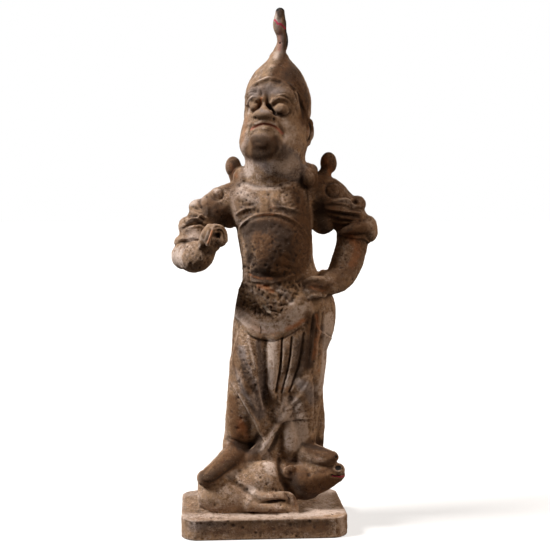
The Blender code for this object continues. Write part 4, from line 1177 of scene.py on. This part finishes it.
class Skin:
    """The fused clay's points, with the edges between them, and the paint that lies on each."""

    def __init__(self, mesh):
        self.mesh = mesh
        self.count = len(mesh.vertices)
        found = np.empty(self.count * 3, np.float32)
        mesh.vertices.foreach_get("co", found)
        self.points = found.reshape(-1, 3).astype(float)
        edges = np.empty(len(mesh.edges) * 2, np.int32)
        mesh.edges.foreach_get("vertices", edges)
        self.left, self.right = edges.reshape(-1, 2).T
        self.neighbours = np.bincount(edges, minlength=self.count)
        self.paint = {name: np.zeros(self.count) for name in PAINTS}
        self.even_normals()

    def even(self, values, rounds):
        """Values at the points, averaged with their neighbours' a number of times."""
        for _ in range(rounds):
            total = values.copy()
            for column in range(values.shape[1]):
                total[:, column] += np.bincount(self.left, values[self.right, column], self.count)
                total[:, column] += np.bincount(self.right, values[self.left, column], self.count)
            values = total / (1 + self.neighbours)[:, None]
        return values

    def even_normals(self):
        """The directions the clay faces, without its finest unevenness."""
        self.mesh.vertices.foreach_set("co", self.points.astype(np.float32).ravel())
        self.mesh.update()
        found = np.empty(self.count * 3, np.float32)
        self.mesh.vertex_normals.foreach_get("vector", found)
        self.normals = self.even(found.reshape(-1, 3).astype(float), NORMAL_ROUNDS)
        self.normals /= np.linalg.norm(self.normals, axis=1)[:, None]

    def face(self, view, reach):
        """Turns to a view. Strokes land on clay that faces it and lies between two depths."""
        inverse = np.array(view.inverted())
        local = self.points @ inverse[:3, :3].T + inverse[:3, 3]
        toward = -(self.normals @ np.array(view.to_3x3().normalized()))[:, 1]
        self.flat = local[:, (0, 2)]
        self.seen = np.clip((toward - GLANCING) / GLANCING_TO_FULL, 0.0, 1.0)
        self.seen[(local[:, 1] < reach[0]) | (local[:, 1] > reach[1])] = 0.0
        self.worked = np.zeros(self.count)

    def push(self, amount, near=slice(None)):
        """Points move out along their normals by an amount in shares."""
        amount = amount * self.seen[near]
        self.points[near] += self.normals[near] * (amount * SHARE)[:, None]
        self.worked[near] = np.maximum(self.worked[near], np.minimum(np.abs(amount), 1.0))

    def done(self):
        """The worked places are wiped once with a wet finger."""
        self.points += (self.even(self.points, 1) - self.points) * self.worked[:, None]
        self.even_normals()

    def measure(self, path, reach):
        """Which points lie near a path, with their distance, their side and the stroke's strength."""
        rows = smooth_rows([(*p, 1.0) if len(p) == 2 else p for p in path], PATH_STEPS)
        low = rows[:, :2].min(axis=0) - reach
        high = rows[:, :2].max(axis=0) + reach
        boxed = (self.flat > low).all(axis=1) & (self.flat < high).all(axis=1)
        near = np.flatnonzero((self.seen > 0) & boxed)
        distance = np.full(len(near), np.inf)
        side = np.zeros(len(near))
        strength = np.zeros(len(near))
        spots = self.flat[near]
        for (x0, z0, s0), (x1, z1, s1) in zip(rows, rows[1:]):
            run_x, run_z = x1 - x0, z1 - z0
            gap_x, gap_z = spots[:, 0] - x0, spots[:, 1] - z0
            t = np.clip((gap_x * run_x + gap_z * run_z) / max(run_x**2 + run_z**2, 1e-9), 0.0, 1.0)
            off_x, off_z = gap_x - t * run_x, gap_z - t * run_z
            away = np.hypot(off_x, off_z)
            closer = away < distance
            distance[closer] = away[closer]
            side[closer] = np.sign(run_x * off_z - run_z * off_x)[closer]
            strength[closer] = (s0 + t * (s1 - s0))[closer]
        return near, distance, side, strength

    def ridge(self, path, width, height):
        """A rounded ridge along a path, or a groove where the height is below zero."""
        near, distance, _, strength = self.measure(path, 3 * width)
        self.push(height * strength * np.exp(-((distance / width) ** 2)), near)

    def ridges(self, *strokes):
        """Ridges and grooves one after another, each a path, a width and a height."""
        for stroke in strokes:
            self.ridge(*stroke)

    def hem(self, path, fade, height, edge=2.5):
        """An edge of cloth or plate: raised to the left of the path, fading back into the surface."""
        near, distance, side, strength = self.measure(path, 3 * fade)
        across = distance * side
        rise = np.clip(across / edge + 0.5, 0.0, 1.0)
        step = rise * rise * (3 - 2 * rise)
        self.push(height * strength * step * np.exp(-np.maximum(across, 0) / fade), near)

    def inside(self, outline):
        """Which points lie inside a closed outline."""
        rows = smooth_rows([*outline, outline[0]], PATH_STEPS)
        within = np.zeros(self.count, bool)
        x, z = self.flat.T
        for (x0, z0), (x1, z1) in zip(rows, rows[1:]):
            crossing = (z0 > z) != (z1 > z)
            within ^= crossing & (x < x0 + (z - z0) * (x1 - x0) / (z1 - z0 if z1 != z0 else 1.0))
        return within

    def plate(self, outline, height, edge=3.0):
        """An area inside a closed outline, raised or sunk by a height with a soft edge."""
        within = self.inside(outline)
        near, distance, _, _ = self.measure([*outline, outline[0]], 3 * edge)
        depth = edge * np.where(within, 1.0, -1.0)
        depth[near] = np.clip(distance, 0, edge) * np.where(within[near], 1, -1)
        rise = np.clip(depth / edge * 0.5 + 0.5, 0.0, 1.0)
        self.push(height * rise * rise * (3 - 2 * rise))

    def scatter(self, outline, number, seed):
        """Places spread by chance over an outline's box, each with the numbers drawn for it."""
        chance = np.random.default_rng(seed)
        spots = np.array(outline, float)
        low, high = spots.min(axis=0), spots.max(axis=0)
        area = np.flatnonzero(self.inside(outline) & (self.seen > 0))
        return area, chance.uniform(low, high, (number, 2)), chance.random((number, 3))

    def pits(self, outline, number, sizes, depth, seed):
        """Small holes where grit and straw have burnt or worn out of the clay."""
        area, places, drawn = self.scatter(outline, number, seed)
        spots = self.flat[area]
        amount = np.zeros(len(area))
        for place, (size, deep, _) in zip(places, drawn):
            radius = sizes[0] + (sizes[1] - sizes[0]) * size**2
            away = ((spots - place) ** 2).sum(axis=1) / radius**2
            amount = np.minimum(amount, -depth * radius * (0.5 + 0.5 * deep) * np.exp(-away))
        self.push(amount, area)
        self.paint["stain_and_shade"][area] += np.clip(-amount / depth - 0.5, 0.0, 1.0) * 0.7

    def marks(self, outline, number, size, height, seed):
        """Short hacks of a blade, each with its own lean and height."""
        area, places, drawn = self.scatter(outline, number, seed)
        spots = self.flat[area]
        amount = np.zeros(len(area))
        for place, (turn, scale, sign) in zip(places, drawn):
            lean = math.pi * turn
            along = (spots - place) @ (math.cos(lean), math.sin(lean))
            across = (spots - place) @ (-math.sin(lean), math.cos(lean))
            away = (along / (size[0] * (0.5 + scale))) ** 2 + (across / size[1]) ** 2
            amount += (height if sign > 0.35 else -height) * (0.4 + 0.6 * scale) * np.exp(-away)
        limit = abs(height) * 1.4
        self.push(np.clip(amount, -limit, limit), area)

    def tint(self, name, path, width, strength):
        """Paint, wash, dirt, and painted light and shade along a path."""
        near, distance, _, along = self.measure(path, 2.5 * width)
        laid = strength * along * np.exp(-((distance / width) ** 2)) * np.minimum(self.seen[near] * 1.4, 1.0)
        self.paint[name][near] += laid

    def tints(self, name, *strokes):
        """Strokes of one paint, each a path, a width and a strength."""
        for stroke in strokes:
            self.tint(name, *stroke)


def mottle(points, size, seed):
    """Smooth unevenness between about -1 and 1, in patches of about a size."""
    cells = points / size
    base = np.floor(cells).astype(np.int64)
    part = cells - base
    part = part * part * (3 - 2 * part)
    total = np.zeros(len(points))
    for corner in range(8):
        step = np.array([corner & 1, corner >> 1 & 1, corner >> 2 & 1])
        spot = (base + step + 4096).astype(np.uint64)
        mixed = spot[:, 0] * np.uint64(73856093) ^ spot[:, 1] * np.uint64(19349663)
        mixed = mixed ^ spot[:, 2] * np.uint64(83492791) ^ np.uint64(seed * 2654435761)
        mixed = (mixed ^ mixed >> np.uint64(13)) * np.uint64(1274126177) & np.uint64(0xFFFFFFFF)
        value = ((mixed ^ mixed >> np.uint64(16)) & np.uint64(0xFFFF)).astype(float) / 32767.5 - 1.0
        total += value * np.where(step, part, 1 - part).prod(axis=1)
    return total


skin = Skin(figure_mesh)

# The joints between the lumps are filled with wet clay and thumbed over
skin.seen = np.ones(skin.count)
skin.worked = np.zeros(skin.count)
for _ in range(JOINT_PASSES):
    hollow = ((skin.even(skin.points, JOINT_ROUNDS) - skin.points) * skin.normals).sum(axis=1) / SHARE
    skin.push(np.clip(hollow, 0.0, JOINT_DEPTH) * JOINT_FILLING)
    skin.done()

for view, reach, work in carving:
    skin.face(view, reach)
    work(skin)
    skin.done()

# The hand's unevenness and the crust left by burial, everywhere but on the underside
skin.seen = np.ones(skin.count)
rough_clay = sum(height * mottle(skin.points, size, seed) for height, size, seed in UNEVENNESS)
skin.push(rough_clay * np.clip((skin.points[:, 2] - EVEN_UNDERSIDE) / UNDERSIDE_FADE, 0.0, 1.0))

# Hollows and edges, as the difference between the surface and the same surface well smoothed; the hollows
# are later darkened, partly as burial dirt and partly as painted shade.
even_points = skin.even(skin.points, HOLLOW_ROUNDS)
bulge = ((skin.points - even_points) * skin.normals).sum(axis=1) / SHARE
skin.paint["hollow"] = np.clip(-bulge * CREASE_DIRT_AND_SHADE_GAIN, 0.0, 1.0)
skin.paint["worn"] = np.clip(bulge * CREASE_DIRT_AND_SHADE_GAIN, 0.0, 1.0)

inner_low = np.array(solid_low) + (SIDE_MARGIN, SIDE_MARGIN, 0.0)
inner_high = np.array(solid_high) - (SIDE_MARGIN, SIDE_MARGIN, TOP_MARGIN)
skin.points = np.clip(skin.points, inner_low, inner_high)
figure_mesh.vertices.foreach_set("co", skin.points.astype(np.float32).ravel())
for name, amounts in skin.paint.items():
    layer = figure_mesh.attributes.new(name, "FLOAT", "POINT")
    layer.data.foreach_set("value", np.clip(amounts, 0.0, 1.5).astype(np.float32))
figure_mesh.update()

shaped = bpy.data.objects.new("shaped clay", figure_mesh)
bpy.context.scene.collection.objects.link(shaped)
thinning = shaped.modifiers.new("thinning", "DECIMATE")
thinning.ratio = FIGURE_TRIANGLES / sum(len(face.vertices) - 2 for face in figure_mesh.polygons)
thinned = bpy.data.meshes.new_from_object(shaped.evaluated_get(bpy.context.evaluated_depsgraph_get()))
bpy.data.objects.remove(shaped)
bpy.data.meshes.remove(figure_mesh)
thinned.shade_smooth()
guardian = bpy.data.objects.new("guardian_figure", thinned)
bpy.context.scene.collection.objects.link(guardian)


# Fired clay with worn slip, and painted light and shade
# Low-fired grey-brown earthenware with ochre and orange patches where the body shows, a thin pinkish
# white slip rubbed off its high places, and blackish brown burial stains that lie in pits and folds.
# Some of the laid paint is painted light and shade, and the darkening of folds and hollows is partly painted
# shade.

UMBER = (0.085, 0.045, 0.018, 1.0)
GREY_BROWN = (0.255, 0.161, 0.097, 1.0)
OCHRE = (0.34, 0.208, 0.110, 1.0)
SLIP_AND_PAINTED_LIGHT = (0.56, 0.455, 0.40, 1.0)
BLUE_GREY = (0.18, 0.155, 0.158, 1.0)
ORANGE_CLAY = (0.38, 0.140, 0.050, 1.0)
SOAKED_AND_SHADED = (0.33, 0.23, 0.136, 1.0)
STAIN_AND_CREASE_SHADE = (0.030, 0.0140, 0.0065, 1.0)
LIP_PAINT = (0.40, 0.15, 0.10, 1.0)
RED_PAINT = (0.36, 0.025, 0.065, 1.0)
BLACK_PAINT = (0.008, 0.006, 0.006, 1.0)
CHALK_AND_GLINT = (0.66, 0.57, 0.49, 1.0)

clay_finish = bpy.data.materials.new("worn fired clay")
clay_finish.use_nodes = True
tree = clay_finish.node_tree
surface = tree.nodes["Principled BSDF"]
surface.inputs["Metallic"].default_value = 0.0
surface.inputs["Specular IOR Level"].default_value = 0.35
place = tree.nodes.new("ShaderNodeTexCoord").outputs["Object"]


def put(socket, value):
    """A socket takes a link from another socket, or a plain value."""
    if isinstance(value, bpy.types.NodeSocket):
        tree.links.new(value, socket)
    else:
        socket.default_value = value


def grain(scale, detail, roughness):
    """Cloudy unevenness from 0 to 1, in clouds of so many to the metre."""
    made = tree.nodes.new("ShaderNodeTexNoise")
    put(made.inputs["Vector"], place)
    put(made.inputs["Scale"], scale)
    put(made.inputs["Detail"], detail)
    put(made.inputs["Roughness"], roughness)
    return made.outputs["Fac"]


def maths(kind, *numbers):
    """A sum of one kind, worked out on two or three numbers."""
    made = tree.nodes.new("ShaderNodeMath")
    made.operation = kind
    for socket, number in zip(made.inputs, numbers):
        put(socket, number)
    return made.outputs["Value"]


def product(first, *others):
    """Numbers multiplied together, in turn."""
    for other in others:
        first = maths("MULTIPLY", first, other)
    return first


def step_up(value, low, high):
    """A soft step from 0 to 1 as a value goes from low to high."""
    made = tree.nodes.new("ShaderNodeMapRange")
    made.interpolation_type = "SMOOTHSTEP"
    put(made.inputs["Value"], value)
    put(made.inputs["From Min"], low)
    put(made.inputs["From Max"], high)
    return made.outputs["Result"]


def over(under, top, amount, way):
    """One colour laid over another, or soaked into it."""
    made = tree.nodes.new("ShaderNodeMix")
    made.data_type = "RGBA"
    made.blend_type = way
    put(made.inputs["Factor"], amount)
    put(made.inputs[6], under)
    put(made.inputs[7], top)
    return made.outputs[2]


def laid(name):
    """How much of a paint or stain the modelling left at each place."""
    made = tree.nodes.new("ShaderNodeAttribute")
    made.attribute_name = name
    return made.outputs["Fac"]


def patchy(name, clouds, low, high):
    """A laid amount broken up by clouds, so that its edge is ragged and it wears through in places."""
    return step_up(maths("ADD", laid(name), maths("MULTIPLY_ADD", clouds, 0.9, -0.45)), low, high)


broad = grain(34.0, 5.0, 0.65)
blotches = grain(110.0, 6.0, 0.70)
smears = grain(190.0, 6.0, 0.8)
flecks = grain(430.0, 4.0, 0.75)
grit = grain(1100.0, 3.0, 0.7)
body = maths("ADD", product(broad, 0.45), product(blotches, 0.55))

# Spots and specks lie thinner where the clay was rubbed, and come and go in broad patches
rubbed = maths("MINIMUM", laid("rubbed"), 1.0)
weathered = step_up(grain(45.0, 3.0, 0.5), 0.42, 0.60)
coarse = maths("MULTIPLY_ADD", maths("SUBTRACT", 1.0, rubbed), 0.75, 0.25)
coarse = product(coarse, maths("MULTIPLY_ADD", weathered, 0.65, 0.45))

# Layers from the bare clay outwards: a colour, where it lies, and how thickly
LAYERS = (
    (GREY_BROWN, step_up(body, 0.37, 0.50), 1.0),
    (OCHRE, step_up(grain(75.0, 5.0, 0.7), 0.50, 0.64), 0.7),
    (OCHRE, patchy("ochre", blotches, 0.30, 0.80), 0.8),
    (BLUE_GREY, step_up(grain(60.0, 5.0, 0.7), 0.56, 0.70), 0.4),
    (BLUE_GREY, patchy("grey", blotches, 0.30, 0.90), 0.75),
    (ORANGE_CLAY, step_up(grain(50.0, 6.0, 0.75), 0.58, 0.74), 0.5),
    # Slip, and in places painted light and painted highlights.
    (SLIP_AND_PAINTED_LIGHT, patchy("slip_and_light", blotches, 0.30, 0.80), 0.8),
    (SLIP_AND_PAINTED_LIGHT, product(laid("worn"), step_up(smears, 0.38, 0.60), coarse), 0.6),
    (SLIP_AND_PAINTED_LIGHT, product(step_up(flecks, 0.56, 0.65), coarse), 0.5),
    (SLIP_AND_PAINTED_LIGHT, product(step_up(grain(130.0, 6.0, 0.75), 0.53, 0.60), coarse), 0.5),
    (OCHRE, product(step_up(smears, 0.55, 0.63), coarse), 0.5),
    # Burial earth, and painted shade on the chin, the cap's right side, the arm at the hip and the slab's
    # front.
    (SOAKED_AND_SHADED, patchy("earth_and_shade", body, 0.05, 0.95), 1.0),
    (SOAKED_AND_SHADED, product(step_up(grain(115.0, 6.0, 0.75), 0.53, 0.59), coarse), 0.6),
    (SOAKED_AND_SHADED, product(step_up(grain(270.0, 5.0, 0.8), 0.52, 0.59), coarse), 0.55),
    # Burial stain, and painted shade in creases, slits, holes and under edges.
    (STAIN_AND_CREASE_SHADE, patchy("stain_and_shade", smears, 0.25, 0.85), 0.85),
    (STAIN_AND_CREASE_SHADE, product(step_up(grain(240.0, 6.0, 0.8), 0.57, 0.63), coarse), 0.75),
    # Darker in hollows and creases: partly burial dirt, partly painted shade.
    (STAIN_AND_CREASE_SHADE, laid("hollow"), 0.75),
    (ORANGE_CLAY, patchy("orange", smears, 0.25, 1.0), 0.75),
    (STAIN_AND_CREASE_SHADE, step_up(grit, 0.56, 0.66), 0.4),
    (CHALK_AND_GLINT, product(step_up(grain(700.0, 3.0, 0.7), 0.63, 0.73), coarse), 0.45),
    # Chalk, and a painted highlight on the beast's eye.
    (CHALK_AND_GLINT, patchy("white", flecks, 0.45, 0.70), 1.0),
    (LIP_PAINT, patchy("lip", flecks, 0.35, 0.85), 0.8),
    (RED_PAINT, patchy("red", flecks, 0.45, 0.75), 1.0),
    (BLACK_PAINT, patchy("black", flecks, 0.45, 0.75), 1.0),
)
colour = UMBER
for paint, where, thickness in LAYERS:
    colour = over(colour, paint, product(where, thickness), "MULTIPLY" if paint is SOAKED_AND_SHADED else "MIX")
put(surface.inputs["Base Color"], colour)
put(surface.inputs["Roughness"], maths("MULTIPLY_ADD", flecks, 0.25, 0.68))

# Relief too fine to model: flecks, grit and pinholes
PINHOLES_TO_METRE = 380.0
RELIEF_DEPTH = 0.0013
RELIEF_STRENGTH = 0.9

pinholes = tree.nodes.new("ShaderNodeTexVoronoi")
put(pinholes.inputs["Vector"], place)
put(pinholes.inputs["Scale"], PINHOLES_TO_METRE)
relief = maths("MULTIPLY_ADD", flecks, 0.9, product(grit, 0.45))
relief = maths("ADD", relief, product(step_up(pinholes.outputs["Distance"], 0.10, 0.34), 0.35))
bump = tree.nodes.new("ShaderNodeBump")
put(bump.inputs["Strength"], RELIEF_STRENGTH)
put(bump.inputs["Distance"], RELIEF_DEPTH)
put(bump.inputs["Height"], relief)
put(surface.inputs["Normal"], bump.outputs["Normal"])

thinned.materials.clear()
thinned.materials.append(clay_finish)
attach(guardian, "root")
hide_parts("tomb_guardian")


# Table, light and camera
# A plain pale table with a white ground beyond it, lit by one large soft lamp high on the left and two
# weak ones at the right and behind, and seen from a little above the figure's waist.

TABLE_SIZE = 60.0
TABLE_GREY = (0.35, 0.35, 0.35, 1.0)
TABLE_GLOW = 0.65
WHITE = (1.0, 1.0, 1.0, 1.0)
WARM_FILL = (1.0, 0.78, 0.60, 1.0)
FILL_STRENGTH = 0.10
LENS = 72.0
SENSOR_WIDTH = 36.0
EYE_AT = (-0.0988, -1.7002, 0.4996)
EYE_TIPPED_DOWN = 3.64
EYE_TURNED_RIGHT = 4.0

bpy.ops.mesh.primitive_plane_add(size=TABLE_SIZE, location=(0.0, 0.0, 0.0))
table = bpy.context.object
table.name = "table"
table.visible_diffuse = False
table.visible_glossy = False
table_paint = bpy.data.materials.new("pale table")
table_paint.use_nodes = True
table_top = table_paint.node_tree.nodes["Principled BSDF"]
table_top.inputs["Base Color"].default_value = TABLE_GREY
table_top.inputs["Roughness"].default_value = 1.0
table_top.inputs["Specular IOR Level"].default_value = 0.0
table_top.inputs["Emission Color"].default_value = WHITE
table_top.inputs["Emission Strength"].default_value = TABLE_GLOW
table.data.materials.append(table_paint)

# Each lamp's direction, its width in degrees, its power and its colour
LAMPS = {
    "left lamp": ((-0.72, -0.13, 0.68), 20.0, 6.5, (1.0, 0.97, 0.94)),
    "right lamp": ((0.78, -0.42, 0.46), 30.0, 1.7, (1.0, 0.80, 0.62)),
    "back lamp": ((0.45, 0.75, 0.50), 30.0, 1.0, (1.0, 0.84, 0.70)),
}
for name, (toward, softness, power, warmth) in LAMPS.items():
    light = bpy.data.lights.new(name, "SUN")
    light.angle = math.radians(softness)
    light.energy = power
    light.color = warmth
    lamp = bpy.data.objects.new(name, light)
    lamp.rotation_euler = Vector(toward).to_track_quat("Z", "Y").to_euler()
    bpy.context.scene.collection.objects.link(lamp)

ground = bpy.data.worlds.new("white ground")
ground.use_nodes = True
sky = ground.node_tree.nodes
sky["Background"].inputs["Color"].default_value = WARM_FILL
sky["Background"].inputs["Strength"].default_value = FILL_STRENGTH
shown = sky.new("ShaderNodeBackground")
shown.inputs["Color"].default_value = WHITE
shown.inputs["Strength"].default_value = 1.0
choice = sky.new("ShaderNodeMixShader")
ground.node_tree.links.new(sky.new("ShaderNodeLightPath").outputs["Is Camera Ray"], choice.inputs["Fac"])
ground.node_tree.links.new(sky["Background"].outputs["Background"], choice.inputs[1])
ground.node_tree.links.new(shown.outputs["Background"], choice.inputs[2])
ground.node_tree.links.new(choice.outputs["Shader"], sky["World Output"].inputs["Surface"])
bpy.context.scene.world = ground
bpy.context.scene.view_settings.view_transform = "Standard"

eye = bpy.data.cameras.new("eye")
eye.lens = LENS
eye.sensor_width = SENSOR_WIDTH
camera = bpy.data.objects.new("eye", eye)
camera.location = EYE_AT
camera.rotation_euler = (math.radians(90.0 - EYE_TIPPED_DOWN), 0.0, math.radians(-EYE_TURNED_RIGHT))
bpy.context.scene.collection.objects.link(camera)
bpy.context.scene.camera = camera
